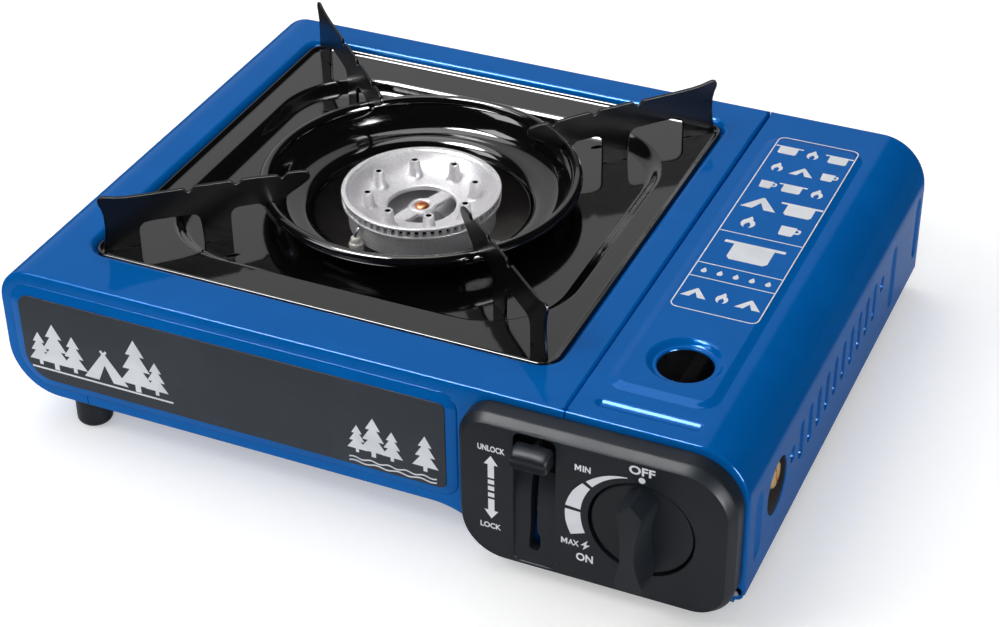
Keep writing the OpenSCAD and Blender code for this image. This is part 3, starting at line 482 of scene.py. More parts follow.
def finish(name, colour, second, roughness, metallic=0.0, coat=0.0, relief="grain", relief_scale=2500.0,
           relief_depth=0.02, marks=0.12, dust=0.0, blend="marks", specular=0.5):
    """A finish: two close colours, roughness that varies with hand marks, and a fine relief."""
    material = bpy.data.materials.new(name)
    material.use_nodes = True
    tree = material.node_tree
    shader = tree.nodes["Principled BSDF"]
    shader.inputs["Metallic"].default_value = metallic
    shader.inputs["Coat Weight"].default_value = coat
    shader.inputs["Coat Roughness"].default_value = COAT_ROUGHNESS
    shader.inputs["Specular IOR Level"].default_value = specular
    hand = effect_node(tree, "marks", Amount=1.0)
    fine = effect_node(tree, relief, Scale=relief_scale)
    mix = tree.nodes.new("ShaderNodeMix")
    mix.data_type = "RGBA"
    mix.inputs["A"].default_value = linear(*colour)
    mix.inputs["B"].default_value = linear(*second)
    factor = hand.outputs["Mask"] if blend == "marks" or "Mask" not in fine.outputs else fine.outputs["Mask"]
    tree.links.new(factor, mix.inputs["Factor"])
    colour_out = mix.outputs["Result"]
    rough = math_node(tree, "MULTIPLY_ADD", hand.outputs["Mask"], marks, roughness)
    if dust:
        specks = effect_node(tree, "dust", Amount=dust)
        dusty = tree.nodes.new("ShaderNodeMix")
        dusty.data_type = "RGBA"
        dusty.inputs["B"].default_value = linear(*DUST_COLOUR)
        tree.links.new(specks.outputs["Mask"], dusty.inputs["Factor"])
        tree.links.new(colour_out, dusty.inputs["A"])
        colour_out = dusty.outputs["Result"]
        rough = math_node(tree, "ADD", rough, specks.outputs["Mask"])
    tree.links.new(colour_out, shader.inputs["Base Color"])
    tree.links.new(rough, shader.inputs["Roughness"])
    bump = tree.nodes.new("ShaderNodeBump")
    bump.inputs["Strength"].default_value = relief_depth
    bump.inputs["Distance"].default_value = MM
    tree.links.new(fine.outputs["Height"], bump.inputs["Height"])
    tree.links.new(bump.outputs["Normal"], shader.inputs["Normal"])
    return material


paint = finish("blue enamel", (1, 96, 176), (2, 100, 182), 0.16, metallic=0.12, coat=0.3, relief="peel",
               relief_scale=650, relief_depth=0.02, marks=0.05, dust=0.02, specular=0.0)
enamel = finish("black enamel", (8, 8, 9), (11, 11, 12), 0.09, coat=0.6, relief="peel", relief_scale=420,
                relief_depth=0.015, marks=0.03, dust=0.03, specular=0.5)
arm_enamel = finish("arm enamel", (7, 7, 8), (10, 10, 11), 0.28, coat=0.15, relief="peel", relief_scale=380,
                    relief_depth=0.06, marks=0.06, dust=0.04, specular=0.25)
plastic = finish("dark grey plastic", (28, 32, 37), (33, 37, 42), 0.4, relief_scale=2600, relief_depth=0.04,
                 marks=0.06, dust=0.02, specular=0.22)
film = finish("label film", (50, 56, 63), (56, 62, 69), 0.4, relief_scale=3200, relief_depth=0.01, marks=0.12,
              specular=0.2)
print_ink = finish("white print", (228, 231, 236), (214, 218, 224), 0.5, relief_scale=4000, relief_depth=0.01)
alloy = finish("cast alloy", (222, 220, 223), (204, 203, 206), 0.42, metallic=0.45, relief_scale=2600,
               relief_depth=0.05, marks=0.12, blend="grain")
steel = finish("zinc plated steel", (176, 178, 182), (150, 153, 158), 0.36, metallic=1.0, relief_scale=900,
               relief_depth=0.03, marks=0.18)
brass = finish("turned brass", (236, 196, 112), (222, 178, 92), 0.28, metallic=0.7, relief_scale=2000,
               relief_depth=0.03, marks=0.15)
copper = finish("copper plated screw", (206, 132, 88), (166, 96, 60), 0.32, metallic=1.0, relief_scale=2000,
                relief_depth=0.04, marks=0.2)
ceramic = finish("glazed ceramic", (240, 238, 230), (226, 222, 210), 0.2, coat=0.6, relief="peel",
                 relief_scale=800, relief_depth=0.03)
# Painted shade: a near-black finish put on deep hollows (flame ports, post bores, the lever channel's top)
# where shade falls.
painted_shade = finish("dark hollow", (13, 13, 14), (17, 17, 18), 0.9, relief_scale=1500, specular=0.0)
primer = finish("bare grey sheet", (166, 160, 158), (150, 145, 143), 0.6, relief="peel", relief_scale=500,
                relief_depth=0.03, marks=0.1, dust=0.1, specular=0.2)
rubber = finish("black rubber", (26, 26, 27), (36, 36, 37), 0.7, relief_scale=1500, relief_depth=0.08,
                marks=0.1)

SLOT_FINISH = {"body_paint": paint, "label": film, "dark_plastic": plastic, "black_enamel": enamel,
               "cast_alloy": alloy, "plain_steel": steel, "brass_fitting": brass, "copper_screw": copper,
               "ceramic": ceramic, "black_rubber": rubber}
for part in frame["record"]["subparts"]:
    node = frame["nodes"][part["node"]]
    node.data.materials.clear()
    node.data.materials.append(SLOT_FINISH[part["material_slot"]])
print("slots with a finish:", len(SLOT_FINISH))

# %% [markdown]
# A pale floor makes a plain studio. It shows white to the camera and takes the stove's shadow. A gloss that
# looks down at it would turn milky, so for mirrored rays it is pale only close by.

# %% Floor
FLOOR_GLOW, FLOOR_WHITE, FLOOR_ROUGHNESS = 0.33, 0.9, 0.8
TABLE_REACH, REACH_FADE = 0.11, 0.04

object_mode()
bpy.ops.mesh.primitive_plane_add(size=6, location=(0, 0.4, 0))
floor = bpy.context.object
floor.name = "studio_floor"
floor_material = bpy.data.materials.new("studio floor")
floor_material.use_nodes = True
floor_tree = floor_material.node_tree
floor_shader = floor_tree.nodes["Principled BSDF"].inputs
floor_shader["Roughness"].default_value = FLOOR_ROUGHNESS
floor_shader["Emission Color"].default_value = (1, 1, 1, 1)
floor_rays = floor_tree.nodes.new("ShaderNodeLightPath").outputs
floor_glow = math_node(floor_tree, "MULTIPLY", floor_rays["Is Camera Ray"], FLOOR_GLOW)
near_floor = ramp_node(floor_tree, floor_rays["Ray Length"], TABLE_REACH + REACH_FADE, TABLE_REACH)
not_glossy = math_node(floor_tree, "SUBTRACT", 1.0, floor_rays["Is Glossy Ray"])
shown = math_node(floor_tree, "MAXIMUM", near_floor, not_glossy)
floor_tree.links.new(math_node(floor_tree, "MULTIPLY", shown, FLOOR_WHITE), floor_shader["Base Color"])
floor_tree.links.new(floor_glow, floor_shader["Emission Strength"])
floor.data.materials.append(floor_material)
print("floor, m:", floor.dimensions.to_tuple(1))

# %% [markdown]
# The enamel needs something to mirror. Lamps could do it, but each would also light the piece. Instead the
# world shows a few soft bright patches to mirrored rays alone, each given by its direction, the cosines at
# which it starts and is full, and its strength. All other rays see an even grey fill, and the camera white.

# %% World
WORLD_FILL, WORLD_DARK = 0.42, 0.02
WORLD_PATCHES = [((-0.55, 0.75, 0.37), 0.8, 0.87, 0.56), ((0.88, -0.42, 0.24), 0.965, 0.98, 34),
                 ((-0.33, -0.16, 0.93), 0.978, 0.987, 40)]

world = bpy.context.scene.world or bpy.data.worlds.new("studio")
bpy.context.scene.world = world
world.use_nodes = True
sky = world.node_tree
background = sky.nodes["Background"].inputs
background["Color"].default_value = (1, 1, 1, 1)
rays = sky.nodes.new("ShaderNodeLightPath").outputs
direction = sky.nodes.new("ShaderNodeTexCoord").outputs["Generated"]
mirrored = WORLD_DARK
for towards, starts, full, strength in WORLD_PATCHES:
    near = sky.nodes.new("ShaderNodeVectorMath")
    near.operation = "DOT_PRODUCT"
    near.inputs[1].default_value = Vector(towards).normalized()
    sky.links.new(direction, near.inputs[0])
    patch = math_node(sky, "MULTIPLY", ramp_node(sky, near.outputs["Value"], starts, full), strength)
    mirrored = math_node(sky, "ADD", patch, mirrored)
glossy = rays["Is Glossy Ray"]
fill = math_node(sky, "MULTIPLY", math_node(sky, "SUBTRACT", 1.0, glossy), WORLD_FILL)
lit = math_node(sky, "ADD", fill, math_node(sky, "MULTIPLY", glossy, mirrored))
seen = math_node(sky, "MAXIMUM", rays["Is Camera Ray"], rays["Is Transmission Ray"])
sky.links.new(math_node(sky, "MAXIMUM", seen, lit), background["Strength"])
print("bright patches in the world:", len(WORLD_PATCHES))

# %% [markdown]
# Three large soft lamps give the pieces their shading. They stay modest, so colours render about as written,
# and the front one is kept out of reflections.

# %% Lamps
LAMPS = [("key_lamp", (-1.25, -0.95, 1.5), (0.8, 0.8), 11, True),
         ("top_lamp", (-0.5, 0.3, 1.5), (1.2, 0.8), 7, True),
         ("front_lamp", (0.5, -1.8, 1.0), (1.0, 0.8), 7, False)]

for name, at, size, energy, shows_in_gloss in LAMPS:
    bpy.ops.object.light_add(type="AREA", location=at)
    lamp = bpy.context.object
    lamp.name = name
    lamp.data.shape = "RECTANGLE"
    lamp.data.size, lamp.data.size_y = size
    lamp.data.energy = energy
    lamp.rotation_euler = Vector(at).to_track_quat("Z", "Y").to_euler()
    lamp.visible_glossy = shows_in_gloss
print("lamps:", len(LAMPS))

# %% [markdown]
# ## The casing
#
# The casing is one bent sheet: left wall, top and back, with front edges rolled over by about a
# millimetre. A plain box with bevels could stand for it, but each corner of the front outline has its own
# radius. So the whole outline is drawn once, made into a tube from front to back, and each end is closed by
# small quarter-round steps that leave a true rolled edge.

# %% Outline of the casing and its rolled ends
R_TOP_LEFT, R_BOTTOM_LEFT, R_SHOULDER, R_STEP, R_FOOT = 16, 23, 24, 34, 3
STEP_X = RIGHT - 136
EDGE_ROLL = 1.3


def case_outline():
    """Front view of the casing, anticlockwise from the top right."""
    points = arc(RIGHT - R_SHOULDER, TOP - R_SHOULDER, R_SHOULDER, 0, 90, 12)
    points += arc(LEFT + R_TOP_LEFT, TOP - R_TOP_LEFT, R_TOP_LEFT, 90, 180, 10)
    points += arc(LEFT + R_BOTTOM_LEFT, PAN_BOTTOM + R_BOTTOM_LEFT, R_BOTTOM_LEFT, 180, 270, 12)
    step_end = math.degrees(math.acos((BAY_BOTTOM - PAN_BOTTOM + R_STEP) / R_STEP))
    points += arc(STEP_X, PAN_BOTTOM - R_STEP, R_STEP, 90, 90 - step_end, 8)
    points += arc(RIGHT - R_FOOT, BAY_BOTTOM + R_FOOT, R_FOOT, 270, 360, 3)
    return points


def end_rolls(roll, steps=4):
    """Quarter-round steps from a wall into the end face: (inwards, outwards)."""
    angles = [math.pi / 2 * i / steps for i in range(steps + 1)]
    reach = [(roll * (1 - math.cos(a)), roll * math.sin(a)) for a in angles]
    return [(b[0] - a[0], b[1] - a[1]) for a, b in zip(reach, reach[1:])]


def tube(name, points, front, back, roll):
    """A closed outline drawn from front to back with rolled edges, and flat front and back walls."""
    piece = outline(name, upright(points, front + roll))
    edit(piece)
    pull((0, back - front - 2 * roll, 0))
    bpy.ops.mesh.select_all(action="SELECT")
    bpy.ops.mesh.normals_make_consistent(inside=False)
    for end in (-1, 1):
        pick_faces(piece, lambda centre, normal: normal.y * end > 0.9)
        for inwards, outwards in end_rolls(roll):
            bpy.ops.mesh.inset(thickness=inwards * MM, depth=outwards * MM, use_even_offset=True)
    object_mode()
    return piece


shell = tube("casing_shell", case_outline(), FRONT, BACK, EDGE_ROLL)
print("casing outline points:", len(case_outline()))

# %% [markdown]
# The tray's opening is pressed in, not cut with a sharp edge. Its rim is drawn as its own small press tool
# run: an outline on the top face, then steps that go in and down. The flat top is filled between that
# outline and the casing's own edges, so the two meet without a joint.

# %% Cut the shell at the lid's joint line and open its walls
SQUARE = 0.9995


def divide(piece, point, normal, remove=False):
    """Divides a piece along a plane, and can remove the side that the normal points to."""
    edit(piece)
    bpy.ops.mesh.bisect(plane_co=Vector(point) * MM, plane_no=normal, clear_outer=remove, use_fill=False)
    object_mode()


def drop_faces(piece, test, keep_edges=False):
    edit(piece)
    pick_faces(piece, test)
    bpy.ops.mesh.delete(type="ONLY_FACE" if keep_edges else "FACE")
    object_mode()


divide(shell, (SPLIT, 0, 0), RIGHTWARD, remove=True)
drop_faces(shell, lambda c, n: n.z > SQUARE and c.z > TOP - ON_EDGE, keep_edges=True)
drop_faces(shell, lambda c, n: n.y < -SQUARE and c.y < FRONT + ON_SHEET, keep_edges=True)

OPEN_LEFT, OPEN_RIGHT = LEFT + 29, SPLIT - 15
OPEN_FRONT, OPEN_BACK = FRONT + 26.5, BACK - 18.5
OPEN_X, OPEN_Y = (OPEN_LEFT + OPEN_RIGHT) / 2, (OPEN_FRONT + OPEN_BACK) / 2
OPEN_W, OPEN_D, OPEN_R = OPEN_RIGHT - OPEN_LEFT, OPEN_BACK - OPEN_FRONT, 9
RIM_RUN = [(0.9, -0.12), (1.0, -0.5), (0.9, -0.95), (0.5, -1.15), (0.2, -1.28)]
RIM_WIDTH = sum(step[0] for step in RIM_RUN)
LEDGE = [(5.5, 0)]

rim_points = rounded(OPEN_X, OPEN_Y, OPEN_W + 2 * RIM_WIDTH, OPEN_D + 2 * RIM_WIDTH, OPEN_R + RIM_WIDTH)
rim = pressed("rim", flat(rim_points, TOP), UPWARD, RIM_RUN + LEDGE)

COLUMN = SPLIT - 45.5
FIELD_LEFT, FIELD_RIGHT, FIELD_LOW, FIELD_HIGH = LEFT + 5, COLUMN, PAN_BOTTOM + 5, TOP - 5.5
FIELD_RADII = (8, 11, 18, 8)


def field_outline(inset=0.0, steps=8):
    w, h = FIELD_RIGHT - FIELD_LEFT - 2 * inset, FIELD_HIGH - FIELD_LOW - 2 * inset
    return rounded((FIELD_LEFT + FIELD_RIGHT) / 2, (FIELD_LOW + FIELD_HIGH) / 2, w, h,
                   [max(r - inset, 1) for r in FIELD_RADII], steps)


lip = pressed("lip", upright(field_outline(), FRONT), FRONTWARD, [(0.25, -0.08), (0.12, -0.5)])

STEM_SLOT_X, STEM_SLOT_Z, STEM_SLOT_W, STEM_SLOT_H = COLUMN + 38.2, TOP - 33, 9.6, 45.6
stem_points = rounded(STEM_SLOT_X, STEM_SLOT_Z, STEM_SLOT_W, STEM_SLOT_H, STEM_SLOT_W / 2, 6)
stem_slot = pressed("stem_slot", upright(stem_points, FRONT), FRONTWARD, [(0.15, -0.1), (0.05, -0.4)])
shell = joined("casing_shell", [shell, rim, lip, stem_slot])
fill_between(shell, lambda p: abs(p.z - TOP) < ON_SHEET)
fill_between(shell, lambda p: abs(p.y - FRONT) < ON_SHEET)
print("opening", round(OPEN_W, 1), "x", round(OPEN_D, 1), "mm, rim", round(RIM_WIDTH, 1), "mm wide")

# %% [markdown]
# The front band's lower part belongs to the bottom pan: a short seam runs up through it near the left
# corner. The pan's faces are picked by place, split off into their own object, and given a hair's gap.

# %% Split the bottom pan from the casing
SEAM_GAP = 0.35
PAN_EDGE = 3.0
BAND_DEPTH, BAND_TOP = 12, FIELD_LOW + 0.6

for x in (SEAM, SEAM + SEAM_GAP, COLUMN):
    divide(shell, (x, 0, 0), RIGHTWARD)


def on_pan(c, n):
    bottom = c.z < PAN_BOTTOM + PAN_EDGE and n.z < -0.3 and c.x > SEAM
    front_band = c.y < FRONT + BAND_DEPTH and c.z < BAND_TOP and SEAM < c.x < COLUMN
    return bottom or front_band


drop_faces(shell, lambda c, n: SEAM < c.x < SEAM + SEAM_GAP and c.z < BAND_TOP and on_pan(c, n))
edit(shell)
pick_faces(shell, on_pan)
bpy.ops.mesh.separate(type="SELECTED")
object_mode()
pan = next(o for o in bpy.data.objects if o.name.startswith("casing_shell") and o != shell)
pan.name = pan.data.name = "pan_skin"
edit(pan)
pick_edges(pan, lambda edge, a, b: min(a.x, b.x) > SPLIT - ON_EDGE and max(a.z, b.z) < BAY_BOTTOM + ON_EDGE
           and len(edge.link_faces) < 2)
pull((pan_high.x - SPLIT, 0, 0))
object_mode()

# %% [markdown]
# Where the casing meets the lid, its sheet is bent down, so the joint shows two soft edges and a dark line.
# The open edge is extruded down and its corner bevelled. Only then do both sheets get their thickness,
# inwards, because a sheet that is already thick would have to be bent on both of its sides.

# %% Turn the casing's edge down at the joint, then give both sheets their thickness
JOINT_LIP, JOINT_R = 3.0, 1.7


def turn_down(piece, x, depth, radius):
    """Bends the sheet's edge along the joint down, with a small radius."""
    def on_joint(a, b):
        return abs(a.x - x) < ON_EDGE and abs(b.x - x) < ON_EDGE and min(a.z, b.z) > TOP - ON_EDGE

    edit(piece)
    pick_edges(piece, lambda edge, a, b: on_joint(a, b) and len(edge.link_faces) < 2)
    pull((0, 0, -depth))
    pick_edges(piece, lambda edge, a, b: on_joint(a, b))
    bpy.ops.mesh.bevel(offset=radius * MM, segments=4, affect="EDGES")
    object_mode()


turn_down(shell, SPLIT, JOINT_LIP, JOINT_R)
skin(shell, SHEET, ((LEFT, 0, 45), (-1, 0, 0)), (paint, primer))
skin(pan, SHEET, ((-40, 20, PAN_BOTTOM), (0, 0, -1)), (paint, primer))
dress(shell, "stove", paint, ["top_casing"])
dress(pan, "stove", paint, ["base_pan"])

# %% [markdown]
# ## The lid over the cartridge bay
#
# The lid is the right quarter of the same bent section, cut off at the joint. Its top carries a low raised
# field with a round viewing hole and a short groove in front of it. Its side wall carries a row of pressed
# louvres. Each of these is a small press tool, drawn on the flat sheet, and the sheet is filled round them.

# %% Lid section, its end flanges and its joint edge
LID_START = lid_low.x
LID_FOOT = box_mm("lid_hinge_pins")[0].z + 0.95
LID_ROUND_X, LID_ROUND_Z = 22, 24
SPARE_SIDE, SPARE_FOOT = 9, 8
FLANGE = 5.5

quarter = [math.radians(a) for a in range(0, 91, 6)]
lid_section = [(RIGHT - LID_ROUND_X + LID_ROUND_X * math.cos(a),
                TOP - LID_ROUND_Z + LID_ROUND_Z * math.sin(a)) for a in quarter]
lid_section += [(LID_START - SPARE_SIDE, TOP), (LID_START - SPARE_SIDE, LID_FOOT - SPARE_FOOT),
                (RIGHT, LID_FOOT - SPARE_FOOT)]
lid = tube("lid_shell", lid_section, FRONT, BACK, EDGE_ROLL)
for end in (-1, 1):
    edit(lid)
    pick_faces(lid, lambda c, n: n.y * end > 0.99)
    bpy.ops.mesh.inset(thickness=FLANGE * MM, depth=0, use_even_offset=True)
    bpy.ops.mesh.delete(type="FACE")
    object_mode()
divide(lid, (LID_START, 0, 0), (-1, 0, 0), remove=True)
divide(lid, (0, 0, LID_FOOT), (0, 0, -1), remove=True)
drop_faces(lid, lambda c, n: n.z > SQUARE and c.z > TOP - ON_EDGE, keep_edges=True)
drop_faces(lid, lambda c, n: n.x > SQUARE and c.z < TOP - LID_ROUND_Z, keep_edges=True)
print("lid width", round(RIGHT - LID_START, 1), "mm")

# %% [markdown]
# The lid's top holds a low raised field, a viewing hole with a dished rim, and a short groove that stiffens
# the front edge. Each one is an outline taken through its own press steps. A displacement map could raise
# the field too, but only real steps give its edge the two soft bends that show in reflections.

# %% Press tools for the lid's top: the field, the viewing hole and the groove
FIELD_RISE = 1.3
FIELD_START, FIELD_END = LID_START + 6, RIGHT - 23
FIELD_MIDDLE, FIELD_LENGTH, FIELD_R = FRONT + 128.3, 213.5, 9
FIELD_RUN = [(0.5, 0.03), (0.9, 0.23), (1.0, 0.39), (1.0, 0.39), (0.9, 0.23), (0.5, 0.03)]
TOP_HOLE, TOP_HOLE_R = Vector((RIGHT - 44.7, FRONT + 48.6, 0)), 16.6
TOP_HOLE_RUN = [(0.7, -0.1), (0.8, -0.5), (0.8, -0.7), (0.6, -0.55), (0.5, -0.2), (0.3, -0.03), (0.7, 0),
                (0.3, -0.18), (0.3, -0.6)]
GROOVE_AT, GROOVE_W, GROOVE_D = (TOP_HOLE.x - 1.5, FRONT + 11.2), 46, 6.4
GROOVE_RUN = [(0.5, -0.06), (0.8, -0.42), (0.6, -0.42), (0.7, -0.2), (0.4, -0.03)]

field_points = rounded((FIELD_START + FIELD_END) / 2, FIELD_MIDDLE, FIELD_END - FIELD_START, FIELD_LENGTH,
                       FIELD_R, 6)
field = pressed("field", flat(field_points, TOP), UPWARD, FIELD_RUN)
viewing = pressed("viewing", flat(circle(TOP_HOLE.x, TOP_HOLE.y, TOP_HOLE_R, 60), TOP + FIELD_RISE), UPWARD,
                  TOP_HOLE_RUN)
groove = pressed("groove", flat(rounded(*GROOVE_AT, GROOVE_W, GROOVE_D, GROOVE_D / 2, 6), TOP), UPWARD,
                 GROOVE_RUN, keep=True)
print("raised field", round(FIELD_END - FIELD_START, 1), "x", FIELD_LENGTH, "mm")

# %% [markdown]
# The side wall has a row of upright louvres for air, longer beads near its ends, and the round hole in front
# of the regulator. One long louvre is pressed and copied along the row at its pitch, and a shorter one
# closes the row at each end. Each copy gets its own mesh, so the sheet can be filled round it.

# %% Press tools for the lid's side wall: louvres, beads and the round hole
LOUVRE_PITCH, LOUVRE_FIRST, LOUVRE_MIDDLE = 11.95, FRONT + 68, 41.6
LONG_LOUVRES, LOUVRE_W, LONG_H, SHORT_H = 10, 6, 20, 8.6
LOUVRE_RUN = [(0.2, -0.1), (0.3, -0.6), (0.5, -0.8), (0.6, -0.6), (0.6, -0.3), (0.3, -0.05)]
BEAD_RUN = [(0.5, -0.12), (0.8, -0.5), (1.0, -0.5), (1.1, -0.35), (0.9, -0.15), (0.3, -0.02)]
WALL_HOLE, WALL_HOLE_R = Vector((RIGHT, FRONT + 36.2, 41.1)), 12.7


def copies(piece, offsets):
    """The piece with copies moved by each offset, each with its own mesh, joined."""
    made = [piece]
    for offset in offsets:
        made.append(twin(piece))
        bpy.ops.transform.translate(value=Vector(offset) * MM)
        bpy.ops.object.transform_apply(location=True, rotation=False, scale=False)
    return joined(piece.name, made)


def wall_press(name, y, z, w, h, run):
    return pressed(name, sideways(rounded(y, z, w, h, w / 2, 5), RIGHT), RIGHTWARD, run, keep=True)


long_louvre = wall_press("louvre", LOUVRE_FIRST, LOUVRE_MIDDLE, LOUVRE_W, LONG_H, LOUVRE_RUN)
louvres = copies(long_louvre, [(0, LOUVRE_PITCH * i, 0) for i in range(1, LONG_LOUVRES)])
short_louvre = wall_press("short_louvre", LOUVRE_FIRST - LOUVRE_PITCH, LOUVRE_MIDDLE + 1, LOUVRE_W, SHORT_H,
                          LOUVRE_RUN)
short_louvres = copies(short_louvre, [(0, LOUVRE_PITCH * (LONG_LOUVRES + 1), 1.4)])
back_bead = wall_press("bead", FRONT + 207.5, 35, 9.4, 34, BEAD_RUN)
beads = copies(back_bead, [(0, 40.5, 3.4), (0, -195, 3.4)])
hole_points = sideways(circle(WALL_HOLE.y, WALL_HOLE.z, WALL_HOLE_R, 60), RIGHT)
wall_hole = pressed("wall_hole", hole_points, RIGHTWARD, [(0.25, -0.1), (0.15, -0.5)])
print("louvres:", LONG_LOUVRES + 2)

# %% [markdown]
# The press work and the lid's own section are joined into one mesh, and the sheet between their outlines is
# filled. That leaves the flats truly flat, where pressing into a dense grid would leave small waves in the
# gloss. Then the joint edge is turned down like the casing's, and the sheet gets its thickness.

# %% Fill the lid's flat sheets round the press work and close the joint edge
lid = joined("lid_shell", [lid, field, viewing, groove, louvres, short_louvres, beads, wall_hole])
fill_between(lid, lambda p: abs(p.z - TOP) < ON_SHEET)
fill_between(lid, lambda p: abs(p.z - TOP - FIELD_RISE) < ON_SHEET)
fill_between(lid, lambda p: abs(p.x - RIGHT) < ON_SHEET and p.z < TOP - LID_ROUND_Z + 1)
turn_down(lid, LID_START, JOINT_LIP, JOINT_R)
skin(lid, SHEET, ((RIGHT, 0, 20), RIGHTWARD), (paint, primer))

# %% [markdown]
# The hinge ears are flat lugs that hang from the lid's end flanges down to the hinge pins. A turned disc
# that runs into the flange is enough, because the control panel hides the front one.

# %% Hinge ears
HINGE_X, HINGE_Z = RIGHT - 3.8, LID_FOOT + 0.3
EAR_BORE_R, EAR_R = 1.3, 3.3
EAR_PROFILE = [(EAR_BORE_R, 0), (EAR_R, 0), (EAR_R, SHEET), (EAR_BORE_R, SHEET)]
ears = []
for y in (FRONT, BACK - SHEET):
    ears.append(turned("hinge_ear", EAR_PROFILE, (HINGE_X, y, HINGE_Z), (0, 1, 0), steps=32))
    ears[-1].data.materials.append(paint)
lid = joined("lid_shell", [lid] + ears)
dress(lid, "lid", paint, ["cartridge_lid"])

# %% [markdown]
# Close behind the side hole sits the regulator's brass plug: a hexagon on the port with a round slotted
# head. The head is turned, and its slot is a strip of the end face that is cut free and pushed in.

# %% Regulator plug
PLUG_HEX_R, PLUG_HEX_DEPTH = 8.0, 5.0
plug_low, plug_high = box_mm("regulator_cap")
plug_middle = (plug_low + plug_high) / 2
PLUG_HEAD = Vector((RIGHT - 1.5, plug_middle.y + 4.7, plug_middle.z + 1.8))
PLUG_PROFILE = [(0, -9.5), (3.6, -9.5), (3.6, -3.2), (5.9, -3.2), (6.0, -0.9), (5.7, -0.35), (5.1, 0), (0, 0)]
SLOT_ACROSS = Vector((0, 0.94, 0.34))
SLOT_HALF, SLOT_DEPTH = 0.8, 1.3

hexagon = plate("plug_hexagon", sideways(circle(plug_middle.y, plug_middle.z, PLUG_HEX_R, 6), plug_low.x),
                (PLUG_HEX_DEPTH, 0, 0))
head = turned("plug_head", PLUG_PROFILE, PLUG_HEAD, RIGHTWARD, (0, 1, 0), steps=48, closed=False)
for side in (-SLOT_HALF, SLOT_HALF):
    divide(head, PLUG_HEAD + SLOT_ACROSS * side, SLOT_ACROSS)
edit(head)
pick_faces(head, lambda c, n: n.x > 0.99 and abs((c - PLUG_HEAD).dot(SLOT_ACROSS)) < SLOT_HALF)
pull((-SLOT_DEPTH, 0, 0))
object_mode()
plug = joined("regulator_plug", [hexagon, head])
dress(plug, "stove", brass, ["regulator_cap"], angle=30)

# %% [markdown]
# ## The front panel and its label
#
# The front field is a separate plate behind the casing's front opening. It stands a little proud, with a
# broad soft bevel, and carries a thin dark label. A stack of inset steps gives the bevel its rounded foot
# and shoulder, which a single chamfer wouldn't.

# %% Front field and label plate
FIELD_FOOT, LABEL_FOOT = FRONT + 0.65, FRONT - 1.37
FIELD_BEVEL = [(0.02, 0.55), (0.2, 0.28), (0.5, 0.3), (1.4, 0.4), (1.4, 0.36), (0.8, 0.12), (0.3, 0.02)]
LABEL_BEVEL = [(0.02, 0.3), (0.08, 0.14), (0.12, 0.05)]
FIELD_INSET, LABEL_INSET = 0.3, 5.0

front_points = upright(field_outline(FIELD_INSET, 12), FIELD_FOOT)
front_field = pressed("front_field", front_points, FRONTWARD, FIELD_BEVEL, keep=True)
skin(front_field, SHEET, ((-60, FRONT - 1.4, 48), FRONTWARD))
dress(front_field, "stove", paint, ["front_panel"])

label_points = upright(field_outline(LABEL_INSET, 12), LABEL_FOOT)
label = pressed("front_label_plate", label_points, FRONTWARD, LABEL_BEVEL, keep=True)
edit(label)
pick_edges(label, lambda edge, a, b: len(edge.link_faces) < 2)
bpy.ops.mesh.fill()
object_mode()
dress(label, "stove", film, ["front_label"])
label_face = min(v.co.y for v in label.data.vertices) / MM
print("label face at y", round(label_face, 2))

# %% [markdown]
# ## The drip tray
#
# The tray is black enamelled sheet: a rolled outer edge, a narrow flat border, and a sunk floor with large
# corner radii round the burner hole. It is pressed from three tools and the two flats between them are
# filled. Small oval drain holes stand beside the inner legs of the pan arms.

# %% Tray sizes and its three press tools
TRAY_GAP = 0.7
LEDGE_Z = TOP - 4
BORDER_Z = LEDGE_Z + 0.8
FLOOR_Z = BORDER_Z - 5.3
TRAY_W, TRAY_D = OPEN_W - 2 * TRAY_GAP, OPEN_D - 2 * TRAY_GAP
SINK_W, SINK_D, SINK_R = OPEN_W - 25, OPEN_D - 38, 42
BURNER_HOLE_R = 58.9
TRAY_EDGE_RUN = [(0.02, 1.75), (0.16, 0.42), (0.3, 0.26), (0.35, 0.05), (0.35, -0.12), (0.45, -0.42),
                 (0.6, -0.72), (0.8, -0.36), (0.7, -0.06)]
SINK_RUN = [(0.7, -0.1), (1.0, -0.5), (1.1, -0.95), (1.2, -1.25), (1.2, -1.15), (1.1, -0.8), (1.0, -0.42),
            (0.8, -0.13)]
DRAIN_ALONG, DRAIN_ASIDE, DRAIN_LONG, DRAIN_SHORT = 92, 14.5, 3.6, 1.5

edge_points = rounded(CENTRE.x, CENTRE.y, TRAY_W, TRAY_D, OPEN_R - TRAY_GAP, 8)
edge_foot = BORDER_Z - sum(along for _, along in TRAY_EDGE_RUN)
tray = pressed("tray_pan", flat(edge_points, edge_foot), UPWARD, TRAY_EDGE_RUN)
sink_points = rounded(CENTRE.x, CENTRE.y, SINK_W, SINK_D, SINK_R, 14)
sink = pressed("sink", flat(sink_points, BORDER_Z), UPWARD, SINK_RUN)
burner_hole = pressed("burner_hole", flat(circle(CENTRE.x, CENTRE.y, BURNER_HOLE_R, 120), FLOOR_Z), UPWARD,
                      [(0.8, 0.1), (0.6, 0.3), (0.3, 0.35)])

ARM_ANGLE = math.atan2(OPEN_D, OPEN_W)
ARM_ANGLES = {"back_right": ARM_ANGLE, "back_left": math.pi - ARM_ANGLE, "front_left": math.pi + ARM_ANGLE,
              "front_right": -ARM_ANGLE}


def on_arm(angle, along, aside):
    """A point given along an arm's line and beside it."""
    c, s = math.cos(angle), math.sin(angle)
    return CENTRE.x + along * c - aside * s, CENTRE.y + along * s + aside * c


